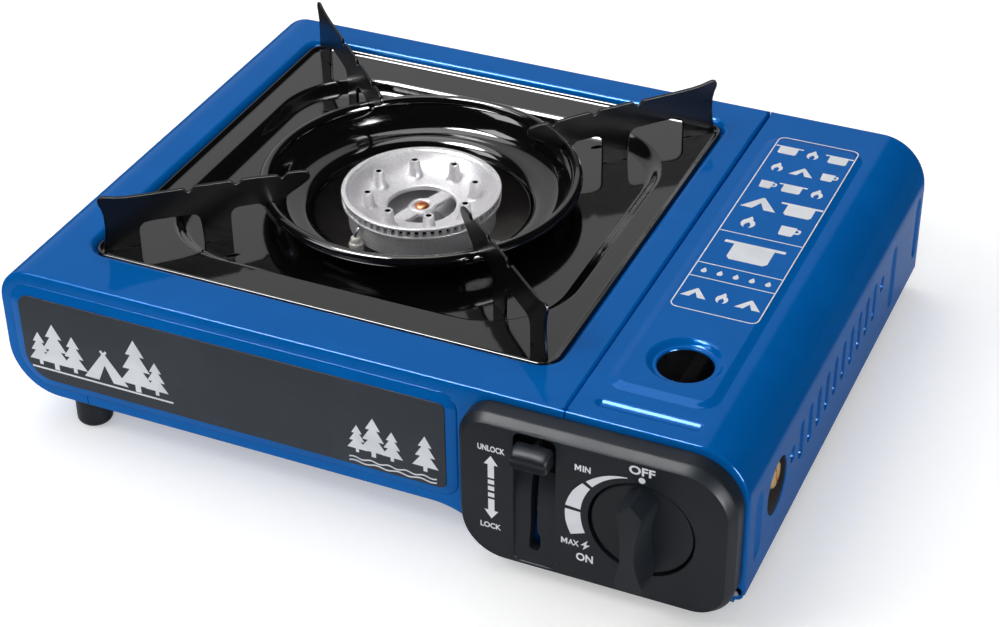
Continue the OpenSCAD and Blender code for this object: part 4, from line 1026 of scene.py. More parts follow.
drains = []
for angle in ARM_ANGLES.values():
    oval = [on_arm(angle, DRAIN_ALONG + DRAIN_LONG * u, DRAIN_ASIDE + DRAIN_SHORT * v)
            for u, v in circle(0, 0, 1, 20)]
    drains.append(pressed("drain", flat(oval, FLOOR_Z), UPWARD, [(0.2, -0.1), (0.1, -0.5)]))
tray = joined("tray_pan", [tray, sink, burner_hole] + drains)
fill_between(tray, lambda p: abs(p.z - BORDER_Z) < ON_SHEET)
fill_between(tray, lambda p: abs(p.z - FLOOR_Z) < ON_SHEET)
skin(tray, SHEET, ((CENTRE.x, CENTRE.y - 95, BORDER_Z), UPWARD))
dress(tray, "tray", enamel, ["drip_tray"])

# %% [markdown]
# ## The support ring
#
# The ring is turned sheet with both edges rolled. Its section is a centre line given a thickness, with a
# round bead at each end, spun once round the burner's axis.

# %% Turned sheet sections
BEAD_WRAP = 150


def sheet_section(centre_line, thickness, start_bead, end_bead):
    """A closed section: the centre line offset to both sides, with a round bead at each end."""
    line = [Vector(p) for p in centre_line]
    sides = [[], []]
    for index, point in enumerate(line):
        before, after = line[max(index - 1, 0)], line[min(index + 1, len(line) - 1)]
        run = (after - before).normalized()
        across = Vector((-run.y, run.x)) * thickness / 2
        sides[0].append(point + across)
        sides[1].append(point - across)

    def bead(end, inner, radius):
        run = (end - inner).normalized()
        centre = end + run * radius * 0.6
        ahead = math.degrees(math.atan2(run.y, run.x))
        return arc(centre.x, centre.y, radius, ahead + BEAD_WRAP, ahead - BEAD_WRAP, 14)

    section = [p.to_tuple() for p in sides[0]]
    section += bead(line[-1], line[-2], end_bead)
    section += [p.to_tuple() for p in reversed(sides[1])]
    section += bead(line[0], line[1], start_bead)
    return section


RING_LINE = [(49.6, 67.6), (50.2, 69.0), (51.3, 70.3), (52.8, 71.3), (54.6, 71.9), (56.5, 72.1), (58.8, 72.4),
             (60.8, 73.0), (62.4, 74.0), (63.7, 75.6), (64.9, 77.6), (66.1, 79.9), (67.5, 81.9), (68.9, 82.7)]
LIP_BEAD_R, RIM_BEAD_R = 0.6, 2.7
ring = turned("support_collar", sheet_section(RING_LINE, SHEET, LIP_BEAD_R, RIM_BEAD_R), CENTRE, steps=128)
dress(ring, "tray", enamel, ["support_ring"], angle=60)
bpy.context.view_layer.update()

# %% [markdown]
# ## The pan arms
#
# Each arm is one blanked plate standing on the tray, with three notches in its top edge for small pots.
# One arm is drawn from its side, given its thickness, its edges are rounded as thick enamel rounds them,
# and it is copied to the four corners.

# %% Pan arm outline and its four copies
ARM_T, ARM_EDGE_R = 1.5, 0.42
FLOOR_REST, BORDER_REST, TAB = FLOOR_Z + 0.05, BORDER_Z + 0.05, 3.6
ARM_TOP = [(145.4, 102.4), (144.6, 104.2), (142.9, 104.5), (141, 104.1), (138, 103.2), (133, 102.4),
           (124, 101.8), (110, 101.2), (108.9, 101.3), (107.7, 100.8), (106.7, 99.3), (105.6, 98.8),
           (104.4, 99.3), (103.4, 100.6), (102.6, 101.2), (95, 100.8), (88.5, 100.5), (87.2, 100.4),
           (86.2, 99.8), (85.3, 98.7), (84.2, 98.3), (83, 98.8), (82, 99.8), (81.2, 100.2), (74, 99.6),
           (67, 98.9), (65.8, 98.6), (64.9, 97.6), (64.2, 96.9), (63.4, 96.9), (62.6, 97.6), (61.6, 98.7),
           (60.8, 98.9), (56, 98.7), (52.9, 98), (51.6, 96.9), (51.2, 95.4), (51.5, 94), (52.6, 93)]
ARM_LOW = [(56, 90.9), (60.5, 88.5), (63.8, 86.4), (65.4, 85.2), (66.3, 83.6), (67.1, 83.3), (67.5, 84.4),
           (68.4, 85.6), (69.8, 86.05), (71.3, 85.9), (72.4, 85.1), (73.0, 84.4), (73.8, 84.6), (74.6, 85.6),
           (76, 86.2), (84.4, 86.5), (86.4, 86), (87.7, 84.6), (88.1, 82.8), (88.2, 76), (88.2, FLOOR_REST)]
LEG_TAB = [(90.6, FLOOR_REST), (90.6, FLOOR_Z - TAB), (98.4, FLOOR_Z - TAB), (98.4, FLOOR_REST)]
ARM_WINDOW = [(101, FLOOR_REST), (101.1, 76), (101.5, 82.2), (102.2, 85.2), (103.6, 86.7), (105.6, 87.3),
              (114.7, 87.9), (123.5, 88.2), (126.6, 87.8), (128.3, 86.2), (128.8, 83.8), (128.8, BORDER_REST)]
FOOT_TAB = [(133.1, BORDER_REST), (133.1, BORDER_Z - TAB), (141, BORDER_Z - TAB), (141, BORDER_REST)]
ARM_OUTER = [(144.9, BORDER_REST), (145, 79), (144, 84), (143.4, 89), (143.5, 95), (144.3, 98.6),
             (145.2, 100.8)]
arm_outline = ARM_TOP + ARM_LOW + LEG_TAB + ARM_WINDOW + FOOT_TAB + ARM_OUTER

arm = plate("pan_arm", [(along, -ARM_T / 2, z) for along, z in arm_outline], (0, ARM_T, 0))
round_edges(arm, ARM_EDGE_R, 3, 50)
for name, angle in ARM_ANGLES.items():
    copy = twin(arm)
    copy.name = copy.data.name = name + "_pan_arm"
    copy.data.transform(Matrix.Translation(CENTRE * MM) @ Matrix.Rotation(angle, 4, "Z"))
    dress(copy, "tray", arm_enamel, [name + "_arm"], angle=40)
bpy.data.objects.remove(arm)

# %% [markdown]
# ## The burner
#
# The burner head is a turned casting: a dished crown with a thin rim, a band of flame ports under it, and
# eight hollow posts. The ports are made on the turned band itself. Every other face of it is pushed in, so
# the teeth between them stay. Cutting 62 slots with booleans would be slower and would break the band's rim.

# %% Crown and its port band
HEAD_Z = TOP - 2
PORTS = 62
crown_profile = [(16, 66.6), (15.6, 67.6), (15.9, 68.8), (17, 69.3), (19.5, 69.5), (22.5, 70.0),
                 (25.5, 70.9), (28.2, 72.3), (30.6, 74.2), (32.3, 76.1), (33.2, 77.1), (33.5, 77.5),
                 (33.9, 77.6), (34.2, 77.95), (34.8, HEAD_Z), (35.9, HEAD_Z), (36.25, 77.8), (36.35, 77.4),
                 (36.3, 76.9), (36, 76.6), (33.2, 76.5), (33.0, 75), (33.2, 73.7), (35.9, 73.6),
                 (36.2, 73.2), (36.1, 72.5), (35.5, 72.1), (33.2, 72.05), (31.2, 72.05), (29, 71.0),
                 (26, 69.4), (22, 67.9), (18, 67.0)]
crown = turned("burner_crown", crown_profile, CENTRE, steps=96)
PORT_BAND = [(32.6, 73.5), (35.5, 73.5), (35.5, 76.65), (32.6, 76.65)]
PORT_FACE_R = 35
band = turned("port_band", PORT_BAND, CENTRE, steps=2 * PORTS)


def is_port(c, n):
    rel = Vector((c.x - CENTRE.x, c.y - CENTRE.y))
    turn = math.degrees(math.atan2(rel.y, rel.x)) % 360
    return rel.length > PORT_FACE_R and int(turn / (180 / PORTS)) % 2 == 0


for piece in (crown, band):
    add_finishes(piece, (alloy, painted_shade))
edit(band)
pick_faces(band, is_port)
for inwards, along in [(0.04, -0.5), (0.02, -1.6)]:
    bpy.ops.mesh.inset(thickness=inwards * MM, depth=along * MM, use_individual=True)
# The pushed-in port faces take the painted shade finish, a near-black colour standing for the shade inside
# the ports.
give_second_finish()
print("flame ports:", PORTS)

# %% [markdown]
# The posts are one turned cone with a bore, copied round the burner's axis. The bore's faces are found by
# their distance from the post's own axis and get the dark finish, since no light reaches down there.

# %% Flame posts
POSTS, POST_TURN, POST_REACH, BORE_R = 8, math.radians(33), 24.6, 1.28
POST_TOP = HEAD_Z + 0.1
POST_AT = CENTRE + Vector((POST_REACH, 0, 0))
POST_PROFILE = [(0, -3.2), (1.25, -3.1), (1.3, -0.25), (1.5, 0), (2.2, 0), (2.4, -0.25), (2.6, -2.5),
                (2.9, -5), (3.2, -6.8), (3.6, -7.6), (4.5, -8.3), (0, -8.6)]

post = turned("flame_post", [(r, POST_TOP + z) for r, z in POST_PROFILE], POST_AT, steps=28, closed=False)
add_finishes(post, (alloy, painted_shade))
edit(post)
pick_faces(post, lambda c, n: (c - POST_AT).xy.length < BORE_R and POST_TOP - 3.3 < c.z < POST_TOP - 0.3)
give_second_finish()
posts = []
for index in range(POSTS):
    posts.append(twin(post))
    turn = Matrix.Rotation(POST_TURN + math.tau * index / POSTS, 4, "Z")
    posts[-1].data.transform(Matrix.Translation(CENTRE * MM) @ turn @ Matrix.Translation(-CENTRE * MM))
bpy.data.objects.remove(post)
crown = joined("burner_crown", [crown, band] + posts)
dress(crown, "stove", alloy, ["burner_head"], angle=40)

# %% [markdown]
# A bar with a round boss crosses the crown's centre opening, and a copper plated screw holds it. The cross
# in the screw's head is cut with two small bars.

# %% Cross bar and its screw
BRIDGE_TURN = math.radians(70)
BAR_TOP, BAR_T, BAR_REACH, BAR_HALF, BAR_BOSS_R = 67.9, 2.2, 19, 3.3, 6.4
SEAT_PROFILE = [(3.7, -0.5), (5.7, -0.5), (5.7, 0.4), (5.4, 0.7), (4.2, 0.7), (3.7, 0.3)]
SCREW_PROFILE = [(0, 1.3), (1.5, 1.25), (2.7, 1.0), (3.2, 0.6), (3.3, -0.05), (0, -0.1)]
CROSS_TURN, CROSS_HEIGHT, CROSS_BAR = 0.3, 1.6, (3.4, 0.75, 1.5)

bar_outline = []
for side in (1, -1):
    boss = [(side * u, side * v) for u, v in arc(0, 0, BAR_BOSS_R, 32, 140, 9)]
    bar_outline += [(side * BAR_REACH, side * BAR_HALF)] + boss + [(-side * BAR_REACH, side * BAR_HALF)]
bar = plate("burner_bar", flat(bar_outline, BAR_TOP - BAR_T), (0, 0, BAR_T))
edit(bar)
bpy.ops.mesh.remove_doubles(threshold=WELD * MM)
object_mode()
round_edges(bar, 0.5, 3, 40)
bar.data.transform(Matrix.Translation(CENTRE * MM) @ Matrix.Rotation(BRIDGE_TURN, 4, "Z"))
seat = turned("seat", [(r, BAR_TOP + z) for r, z in SEAT_PROFILE], CENTRE, steps=48)
bar = joined("burner_bar", [bar, seat])
dress(bar, "stove", alloy, ["burner_bridge"], angle=40)

screw = turned("bar_screw", [(r, BAR_TOP + z) for r, z in SCREW_PROFILE], CENTRE, steps=40, closed=False)
for turn in (CROSS_TURN, CROSS_TURN + math.pi / 2):
    object_mode()
    bpy.ops.mesh.primitive_cube_add(size=MM, location=(CENTRE + Vector((0, 0, BAR_TOP + CROSS_HEIGHT))) * MM,
                                    rotation=(0, 0, turn), scale=CROSS_BAR)
    cut(screw, bpy.context.object)
dress(screw, "stove", copper, ["bridge_screw"], angle=35)

# %% [markdown]
# The spark electrode is a glazed ceramic sleeve with a steel wire that leans to the ports. Sleeve and wire
# are turned and bent as two pieces, each with its own finish.

# %% Spark electrode
SPARK_TURN, SPARK_REACH = math.radians(-118), 36.9
SLEEVE_PROFILE = [(0.95, 53.2), (2.4, 53.2), (2.4, 58.6), (3.4, 59), (3.4, 62.6), (3.1, 63.2), (2.5, 63.6),
                  (2.4, 65.2), (2.1, 65.9), (1.5, 66.2), (0.95, 66.1)]
WIRE_R, WIRE_FOOT = 0.75, 49.5
WIRE_BENDS = [(0, 17.5), (0.5, 1.4), (0.9, 1.2), (0.9, 0.9)]

spark = CENTRE + Vector((math.cos(SPARK_TURN), math.sin(SPARK_TURN), 0)) * SPARK_REACH
sleeve = turned("spark_sleeve", SLEEVE_PROFILE, spark, steps=32)
dress(sleeve, "stove", ceramic, ["electrode"], angle=50)

wire = outline("spark_wire", flat(circle(spark.x, spark.y, WIRE_R, 12), WIRE_FOOT))
inward = (CENTRE - spark).normalized()
edit(wire)
pick_faces(wire, lambda c, n: True)
for lean, rise in WIRE_BENDS:
    pull(inward * lean + Vector((0, 0, rise)))
bpy.ops.mesh.select_all(action="SELECT")
bpy.ops.mesh.normals_make_consistent(inside=False)
object_mode()
dress(wire, "stove", steel, ["electrode_pin"], angle=50)

# %% [markdown]
# ## The control panel
#
# The panel is one moulding: a dark cover with a drafted wall, a soft bevel all round and a flat face. The
# face has the knob's round opening and the lever's channel. That channel is deep at its top and runs out
# towards its foot, so its floor is divided into strips and each strip is pushed back a little more.

# %% Panel cover and knob opening
FACE = panel_low.y
KNOB_AT = Vector((RIGHT - 39.65, FACE, (box_mm("knob")[0].z + box_mm("knob")[1].z) / 2))
OPENING_R = 22.4
PANEL_BACK, PANEL_LEFT, PANEL_WALL = FRONT - 0.4, panel_low.x + 3.1, 1.2
PANEL_RADII = (22, 13, 21, 16)
PANEL_RUN = [(0.004, 6.7), (0.1, 0.6), (0.22, 0.6), (0.7, 1.15), (0.7, 1.15), (0.5, 0.75), (0.35, 0.42),
             (0.2, 0.22)]

panel_middle = (panel_low + panel_high) / 2
panel_points = rounded((PANEL_LEFT + panel_high.x) / 2, panel_middle.z, panel_high.x - PANEL_LEFT,
                       panel_high.z - panel_low.z, PANEL_RADII, 12)
panel = pressed("control_panel_cover", upright(panel_points, PANEL_BACK), FRONTWARD, PANEL_RUN)
opening = pressed("opening", upright(circle(KNOB_AT.x, KNOB_AT.z, OPENING_R, 90), FACE), FRONTWARD,
                  [(0.14, -0.05), (0.1, -0.2), (0.02, -6.5)])
print("panel", round(panel_high.x - PANEL_LEFT, 1), "x", round(panel_high.z - panel_low.z, 1), "mm")

# %% [markdown]
# The lever runs in a channel with a slot in its floor. The channel is pressed at an even depth first. Then
# its floor is divided at a few heights, and each height gets its share of depth from a table. That keeps the
# walls upright, which a plain slope on the whole face wouldn't.

# %% Lever channel and slot
CHANNEL_X, CHANNEL_W, CHANNEL_R = panel_low.x + 37.2, 18.2, 3
CHANNEL_LOW, CHANNEL_HIGH, CHANNEL_DEPTH = panel_low.z + 3.7, panel_high.z - 3.2, 1.05
CHANNEL_RUN = [(0.12, -0.06), (0.12, -0.34), (0.1, -0.65)]
SLOT_RUN = [(0.12, -0.08), (0.06, -0.9), (0.02, -5)]
CHANNEL_STEPS = [(8, 0.3), (16, 0.7), (30, 1.0), (38, 1.1), (45, 1.7), (50, 2.7), (55, 4.2), (60, 6.0)]
SLOT_POINTS = [(-2.0, 66), (-2.1, 27), (-2.4, 23), (-2.6, 18.5), (-2.4, 17.2), (-1.7, 16.4), (-0.5, 16.1),
               (0.8, 16.2), (1.8, 16.8), (2.4, 17.9), (2.5, 23.4), (2.2, 24.6), (1.4, 25.3), (1.1, 26.2),
               (0.8, 66)]

channel_points = rounded(CHANNEL_X, (CHANNEL_LOW + CHANNEL_HIGH) / 2, CHANNEL_W, CHANNEL_HIGH - CHANNEL_LOW,
                         CHANNEL_R, 5)
channel = pressed("channel", upright(channel_points, FACE), FRONTWARD, CHANNEL_RUN)
slot = pressed("slot", upright([(CHANNEL_X + u, v) for u, v in SLOT_POINTS], FACE + CHANNEL_DEPTH), FRONTWARD,
               SLOT_RUN)
channel = joined("channel", [channel, slot])
fill_between(channel, lambda p: abs(p.y - FACE - CHANNEL_DEPTH) < ON_SHEET)
for z, _ in CHANNEL_STEPS:
    divide(channel, (0, 0, z), UPWARD)
for vertex in channel.data.vertices:
    z = vertex.co.z / MM
    share = between(CHANNEL_STEPS, z) if z >= CHANNEL_STEPS[0][0] else 1.0
    vertex.co.y = (FACE + (vertex.co.y / MM - FACE) * share) * MM
print("channel depth", round(CHANNEL_DEPTH * CHANNEL_STEPS[-1][1], 1), "mm at the top")

# %% [markdown]
# The face is filled between the panel's bevel, the knob opening and the channel, and the moulding gets its
# wall. The channel's upper end is deep and takes no light, so its faces get the dark finish.

# %% Join the panel's face and give it its wall
DARK_ABOVE = 55

panel = joined("control_panel_cover", [panel, opening, channel])
fill_between(panel, lambda p: abs(p.y - FACE) < ON_SHEET)
skin(panel, PANEL_WALL, ((panel_low.x + 12, FACE, 45), FRONTWARD))
add_finishes(panel, (plastic, painted_shade))
edit(panel)
pick_faces(panel, lambda c, n: abs(c.x - CHANNEL_X) < CHANNEL_W / 2 + 0.2 and c.z > DARK_ABOVE
           and c.y > FACE + 0.5)
give_second_finish()

# %% [markdown]
# Behind the panel, short tubes take the screws that hold it to the casing. Nobody sees them on the closed
# stove, so each is a plain turned tube from just behind the face to the sheet that it stands on.

# %% Screw bosses behind the panel
BOSS_SIDE, BOSS_BORE_R, BOSS_R, BEHIND_FACE = 25.66, 1.3, 3.5, 1
ON_PLATE = FRONT + 1.5
BOSSES = [(panel_low.x + 12, panel_high.z - 10, FRONT),
          (panel_low.x + 14, panel_low.z + 12, FRONT),
          (KNOB_AT.x - BOSS_SIDE, panel_high.z - 9, ON_PLATE),
          (KNOB_AT.x + BOSS_SIDE, panel_high.z - 14, ON_PLATE),
          (KNOB_AT.x - BOSS_SIDE, panel_low.z + 12, ON_PLATE),
          (KNOB_AT.x + BOSS_SIDE, panel_low.z + 12, ON_PLATE)]

tubes = []
for x, z, back in BOSSES:
    depth = back - FACE - BEHIND_FACE
    tubes.append(turned("boss", [(BOSS_BORE_R, 0), (BOSS_R, 0), (BOSS_R, depth), (BOSS_BORE_R, depth)],
                        (x, FACE + BEHIND_FACE, z), (0, 1, 0), steps=24))
panel = joined("control_panel_cover", [panel] + tubes)
dress(panel, "stove", plastic, ["control_panel"])

# %% [markdown]
# ## The ignition knob
#
# The knob is a turned disc that sits flush in the panel's opening, with a tall waisted grip across it. The
# grip is drawn as four outlines, from its root to its front face, and each outline is extruded into the
# next. Its front face is highest in the middle and its pointed end is the pointer.

# %% Knob disc and grip
KNOB_R = 21.26


def loft(name, loops):
    """Extrudes the first outline into each of the next ones, point by point."""
    piece = outline(name, loops[0])
    edit(piece)
    bpy.ops.mesh.select_mode(type="FACE")
    for before, after in zip(loops, loops[1:]):
        bpy.ops.mesh.extrude_region_move()
        mesh = bmesh.from_edit_mesh(piece.data)
        starts = [Vector(point) * MM for point in before]
        for vertex in [v for v in mesh.verts if v.select]:
            nearest = min(range(len(starts)), key=lambda i: (vertex.co - starts[i]).length_squared)
            vertex.co = Vector(after[nearest]) * MM
        bmesh.update_edit_mesh(piece.data)
    bpy.ops.mesh.select_all(action="SELECT")
    bpy.ops.mesh.normals_make_consistent(inside=False)
    object_mode()
    return piece


def both_sides(halves, reach):
    """A symmetric outline: down its right side and up its left side, each point at its own reach."""
    right = [(half, w) for w, half in halves]
    left = [(-half, w) for w, half in reversed(halves) if half > 0]
    return [(KNOB_AT.x + u, FACE - reach(w), KNOB_AT.z + w) for u, w in right + left]


GRIP_REACH = [(-25, 10.9), (-19, 12.9), (-14, 14.2), (-8, 15.1), (0, 15.5), (8, 15.4), (17, 14.6),
              (22.5, 13.5)]
ROOT = [(21.2, 0), (16.6, 6.2), (13.6, 6.5), (9, 5.5), (4, 4.4), (-1, 4.0), (-6, 4.3), (-11, 5.1),
        (-15, 5.9), (-17.5, 6.2), (-18.7, 6.0), (-19.7, 5.0), (-20.2, 3.0), (-20.4, 0)]
FOOT = [(21.6, 0), (17.0, 5.8), (13.8, 5.8), (9, 4.7), (4, 3.85), (-1, 3.55), (-6, 3.85), (-11, 4.7),
        (-15, 5.6), (-18, 6.1), (-19.6, 6.0), (-20.8, 5.0), (-21.4, 3.0), (-21.6, 0)]
MIDDLE = [(22.0, 0), (17.4, 5.5), (14, 5.4), (9, 4.35), (4, 3.5), (-1, 3.2), (-6, 3.5), (-11, 4.4),
          (-15, 5.4), (-18, 5.9), (-19.7, 5.6), (-20.9, 4.6), (-21.6, 2.7), (-21.9, 0)]
TIP = [(22.4, 0), (17.8, 5.2), (14.4, 5.0), (9, 4.0), (4, 3.15), (-1, 2.9), (-6, 3.2), (-11, 4.1),
       (-15, 5.1), (-18, 5.7), (-19.9, 5.5), (-21.2, 4.5), (-22.0, 2.6), (-22.3, 0)]
grip = loft("grip", [both_sides(ROOT, lambda w: -1.6), both_sides(FOOT, lambda w: 0.9),
                     both_sides(MIDDLE, lambda w: 7.0), both_sides(TIP, lambda w: between(GRIP_REACH, w))])
round_edges(grip, 0.4, 2, 42)
DISC_PROFILE = [(0, -1.4), (12, -1.3), (18, -1.05), (20.1, -0.8), (20.8, -0.9), (21.15, -1.2), (KNOB_R, -1.7),
                (KNOB_R, -8), (19.8, -8), (19.8, -2.4), (6.8, -2.4), (6.8, -9.8), (4.05, -9.8), (4.05, -1.6),
                (0, -1.6)]
disc = turned("disc", DISC_PROFILE, KNOB_AT, FRONTWARD, steps=96, closed=False)
knob = joined("ignition_knob", [disc, grip])
dress(knob, "knob_shaft", plastic, ["knob"], angle=38)

# %% [markdown]
# The lever's cap is a small moulded block. Its top ends in a rounded ridge, and its front is hollowed for a
# finger above a thin lip. One side profile is lofted across its width, shrinking at both ends.

# %% Lever cap
cap_low, cap_high = box_mm("lock_slider")
CAP_Z = (cap_low.z + cap_high.z) / 2 + 0.3
CAP_PROFILE = [(-0.6, 4.7), (2, 4.7), (4.0, 4.4), (5.6, 3.7), (6.8, 2.7), (7.25, 1.7), (7.1, 0.9), (6.6, 0.2),
               (6.3, -0.5), (6.25, -1.2), (6.5, -1.9), (6.9, -2.5), (7.0, -3.0), (6.6, -3.4), (5.6, -3.6),
               (3, -3.7), (-0.6, -3.9)]
CAP_HALF = [(8, 0.82, 0.66), (7.75, 0.9, 0.82), (7.2, 0.96, 0.92), (6.2, 1, 0.98), (4, 1, 1)]
CAP_STATIONS = [(-across, reach, tall) for across, reach, tall in CAP_HALF] + [(0, 0.97, 1)] + CAP_HALF[::-1]
cap_loops = [[(CHANNEL_X + across, FACE - out * reach, CAP_Z + up * tall) for out, up in CAP_PROFILE]
             for across, reach, tall in CAP_STATIONS]
cap = loft("lever_cap", cap_loops)
dress(cap, "slider", plastic, ["lock_slider"], angle=60)

# %% [markdown]
# ## Printed marks
#
# Prints are thin plates a few hundredths of a millimetre proud of their surface, as a screen print or a
# sticker is. Words are made as text, turned into meshes and fitted to the width and height they have on the
# panel. Shapes are drawn from their corner points.

# %% Helpers for prints
PRINT_T, LAYER_STEP = 0.06, 0.02
LETTER_WEIGHT = 0.028


def fitted(piece, at, width, height, turn):
    """Scales a flat mark to its size, stands it up by a rotation and moves it to its place."""
    xs, ys, zs = zip(*(v.co for v in piece.data.vertices))
    middle = Vector(((min(xs) + max(xs)) / 2, (min(ys) + max(ys)) / 2, min(zs)))
    scale = Matrix.Diagonal((width * MM / (max(xs) - min(xs)), height * MM / (max(ys) - min(ys)),
                             PRINT_T * MM / (max(zs) - min(zs)), 1))
    piece.data.transform(Matrix.Translation(Vector(at) * MM) @ turn @ scale @ Matrix.Translation(-middle))
    return piece


def word(letters, at, width, height, turn):
    object_mode()
    bpy.ops.object.text_add(location=(0, 0, 0))
    text = bpy.context.object.data
    text.body = letters
    text.offset = LETTER_WEIGHT
    text.extrude = 0.05
    text.resolution_u = 5
    bpy.ops.object.convert(target="MESH")
    piece = bpy.context.object
    edit(piece)
    bpy.ops.mesh.remove_doubles(threshold=0.0005)
    bpy.ops.mesh.normals_make_consistent(inside=False)
    object_mode()
    return fitted(piece, at, width, height, turn)


def shape(points, place, layer=0):
    """A flat mark from corner points, put on its surface by the place function, each layer a hair higher."""
    low, high = [place(*points[0], depth) for depth in (0, PRINT_T + layer * LAYER_STEP)]
    return plate("mark", [place(u, v, 0) for u, v in points], Vector(high) - Vector(low))


def oblong(u, v, width, height):
    return [(u, v), (u + width, v), (u + width, v + height), (u, v + height)]


def shifted(points, u, v, scale=1.0):
    return [(u + a * scale, v + b * scale) for a, b in points]


UPRIGHT = Matrix.Rotation(math.pi / 2, 4, "X")

# %% [markdown]
# The panel says which way the lever and the knob go: an arrow beside the lever, and beside the knob a band
# that widens in three pieces. The band's inner and outer radii are read from two short tables at each angle.
# An image could hold all this, but thin plates stay sharp from any distance.

# %% Marks on the control panel
PRINT_Y = FACE + 0.01
WORDS = [("UNLOCK", 67.1, 62.5, 11.6, 2.9), ("LOCK", 66.5, 23.5, 9.0, 2.8), ("IN", 107.4, 64.8, 3.3, 3.0),
         ("AX", 102.3, 26.5, 4.6, 2.9), ("ON", 107.1, 20.1, 7.2, 4.0), ("OFF", 130.0, 70.9, 10.6, 4.1)]
LETTER_M = [(0, 0), (0, 2.95), (0.65, 2.95), (1.35, 1.5), (2.05, 2.95), (2.7, 2.95), (2.7, 0), (2.1, 0),
            (2.1, 1.75), (1.5, 0.5), (1.2, 0.5), (0.6, 1.75), (0.6, 0)]
SPARK_SIGN = [(1.0, 2.6), (-2.0, -0.4), (-0.35, -0.25), (-1.0, -2.6), (2.0, 0.4), (0.35, 0.25)]
ARROW_X, HEAD_HALF, SHAFT_HALF, DASH_H = 66.9, 3.0, 1.35, 2.1
DIAL_OUTER = [(104.7, 24.8), (125, 26.8), (144, 28.6), (160, 30.6), (175, 31.8), (190, 31.9), (202, 31.4)]
DIAL_INNER = [(104.7, 24.5), (144, 25.3), (175, 25.4), (202, 25.0)]
DIAL_PIECES = [(104.7, 144.2), (147.8, 175.2), (178.4, 201.5)]


def on_panel(u, v, depth):
    return (u, PRINT_Y - depth, v)


def round_knob(table, turn):
    """A point at an angle round the knob, at the radius that the table gives there."""
    radius, angle = between(table, turn), math.radians(turn)
    return KNOB_AT.x + radius * math.cos(angle), KNOB_AT.z + radius * math.sin(angle)


marks = [word(letters, (x, PRINT_Y, z), w, h, UPRIGHT) for letters, x, z, w, h in WORDS]
for u, v in [(102.45, 63.3), (97.0, 25.05)]:
    marks.append(shape(shifted(LETTER_M, u, v), on_panel))
for tip, neck, end in [(59.0, 54.6, 47.9), (27.2, 31.4, 37.2)]:
    side = [(HEAD_HALF, neck), (SHAFT_HALF, neck), (SHAFT_HALF, end)]
    arrow = [(0, tip)] + [(-half, z) for half, z in side] + side[::-1]
    marks.append(shape(shifted(arrow, ARROW_X, 0), on_panel))
for low in (44.8, 41.6, 38.3):
    marks.append(shape(oblong(ARROW_X - SHAFT_HALF, low, 2 * SHAFT_HALF, DASH_H), on_panel))
marks.append(shape(circle(KNOB_AT.x - 0.3, 66.6, 1.4, 24), on_panel))
marks.append(shape(shifted(SPARK_SIGN, 107.3, 26.7), on_panel))
for start, end in DIAL_PIECES:
    turns = [start + (end - start) * i / 14 for i in range(15)]
    outer, inner = [round_knob(DIAL_OUTER, t) for t in turns], [round_knob(DIAL_INNER, t) for t in turns]
    marks.append(shape(outer + inner[::-1], on_panel))
panel_print = joined("panel_print", marks)
dress(panel_print, "stove", print_ink)

# %% [markdown]
# The front label carries a plain camping pattern: fir trees, a tent and water lines, in one light ink. Firs
# that touch lie on layers of their own, because two prints at the same height would flicker into each other.

# %% Camping pattern on the front label
LABEL_Y = label_face + 0.01
FIR_HALF = [(0, 1.0), (0.17, 0.70), (0.08, 0.70), (0.25, 0.42), (0.12, 0.42), (0.33, 0.13), (0.05, 0.13),
            (0.05, 0)]
FIRS = [(-152, 34.5, 17), (-144, 33.5, 24), (-134.5, 34.5, 19), (-103, 33.5, 27), (-93.5, 34.5, 17),
        (2, 33.5, 14), (9.5, 33, 20), (18, 33.5, 15), (33, 33, 18)]
BIG_TENT = [(-11, 0), (-0.9, 14), (-1.9, 15.6), (-0.9, 16.2), (0, 14.9), (0.9, 16.2), (1.9, 15.6), (0.9, 14),
            (11, 0), (3.6, 0), (0, 8.5), (-3.6, 0)]


def on_label(u, v, depth):
    return (u, LABEL_Y - depth, v)


def fir(x, foot, height, layer):
    right = [(x + a * height, foot + b * height) for a, b in FIR_HALF]
    left = [(x - a * height, foot + b * height) for a, b in reversed(FIR_HALF[1:])]
    return shape(right + left, on_label, layer)


def ribbon(start, end, z, swing, width, waves):
    xs = [start + (end - start) * i / 48 for i in range(49)]
    line = [(x, z + swing * math.sin(math.tau * waves * (x - start) / (end - start))) for x in xs]
    upper, lower = [(x, v + width / 2) for x, v in line], [(x, v - width / 2) for x, v in line]
    return shape(upper + lower[::-1], on_label)


pattern = [fir(*tree, layer=i % 2 + 1) for i, tree in enumerate(FIRS)]
pattern.append(shape(shifted(BIG_TENT, -119, 34.5), on_label))
pattern.append(ribbon(-157, -86, 32.6, 0, 0.9, 1))
pattern += [ribbon(-2, 38, 30.4 - 1.9 * row, 0.45, 0.7, 5 - row) for row in range(2)]
label_print = joined("label_print", pattern)
dress(label_print, "stove", print_ink)

# %% [markdown]
# The lid carries a light frame with cross lines and a few plain pictures of what the stove is for: a pot, a
# flame, a cup and a tent. They lie on the raised field and move with the lid.

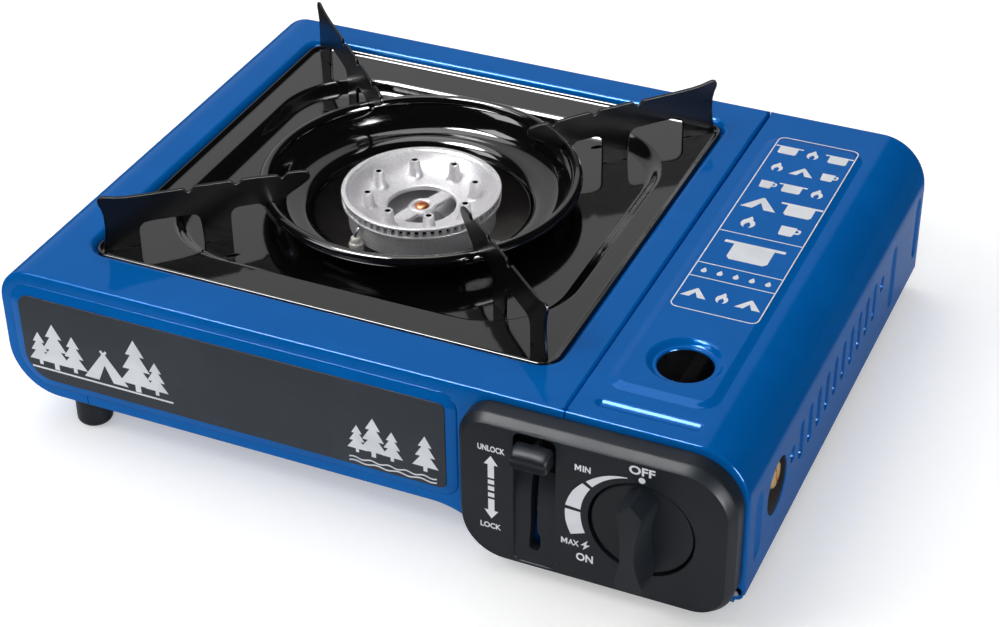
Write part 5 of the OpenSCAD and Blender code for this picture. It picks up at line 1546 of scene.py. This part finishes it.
# %% Framed pictures on the lid
PRINT_Z = TOP + FIELD_RISE - 0.01
FRAME_X, FRAME_Y, FRAME_W, FRAME_D, FRAME_R, LINE_W = RIGHT - 45.75, FRONT + 158.3, 38.5, 150.5, 3.5, 0.55
CROSS_LINES = (107.5, 118.5, 146)
POT = [(-7, 4.5), (-7, -3.6), (-5.8, -5), (5.8, -5), (7, -3.6), (7, 4.5), (10.5, 4.5), (10.5, 6), (-10.5, 6),
       (-10.5, 4.5)]
FLAME = [(0, 7.5), (-1.8, 4.6), (-3.9, 2), (-4.4, -1), (-3.4, -3.8), (-1.4, -5.2), (-2, -3), (-1.2, -0.8),
         (0.2, 0.9), (1.8, -1.4), (2, -3.4), (1.4, -5.2), (3.4, -3.8), (4.4, -1), (3.6, 1.8), (1.8, 3.4),
         (1.4, 5.4)]
CUP = [(-5, 5), (-4.4, -4), (-3.6, -5), (3.2, -5), (4, -4), (4.2, -1.6), (6.6, -1.4), (7.6, 0), (7.6, 2.6),
       (6.8, 3.6), (4.9, 3.6), (4.8, 2.4), (6.2, 2.3), (6.3, 0.2), (4.4, -0.2), (4.7, 5)]
TENT = [(-9, -5), (-0.5, 6), (0.5, 6), (9, -5), (3, -5), (0, 1), (-3, -5)]
DROP = [(0, 3.2), (-1.6, 0.4), (-1.6, -1), (-0.8, -2), (0.8, -2), (1.6, -1), (1.6, 0.4)]
ROWS = [(222, 0.62, (POT, FLAME, POT)), (206, 0.62, (FLAME, TENT, CUP)), (190, 0.62, (CUP, POT, FLAME)),
        (173, 0.9, (TENT, POT)), (156, 0.75, (FLAME, CUP)), (132, 1.3, (POT,)), (113, 0.75, (DROP,) * 5),
        (95.5, 0.62, (TENT, FLAME, TENT))]


def on_lid(u, v, depth):
    return (u, v, PRINT_Z + depth)


frame_points = rounded(FRAME_X, FRAME_Y, FRAME_W, FRAME_D, FRAME_R, 6)
frame_ring = pressed("lid_print", flat(frame_points, PRINT_Z + PRINT_T), UPWARD, [(LINE_W, 0)])
skin(frame_ring, PRINT_T, ((FRAME_X, FRAME_Y - FRAME_D / 2, PRINT_Z + PRINT_T), UPWARD))
pictures = [frame_ring]
for depth in CROSS_LINES:
    line_points = oblong(FRAME_X - FRAME_W / 2 + LINE_W, FRONT + depth, FRAME_W - 2 * LINE_W, LINE_W)
    pictures.append(shape(line_points, on_lid))
for depth, scale, row in ROWS:
    for index, picture in enumerate(row):
        u = (index - (len(row) - 1) / 2) * (FRAME_W - 3) / len(row)
        pictures.append(shape(shifted(picture, FRAME_X + u, FRONT + depth, scale), on_lid))
lid_print = joined("lid_print", pictures)
dress(lid_print, "lid", print_ink)

# %% [markdown]
# The last line leaves edit mode, with nothing selected.

# %% Leave edit mode
object_mode()
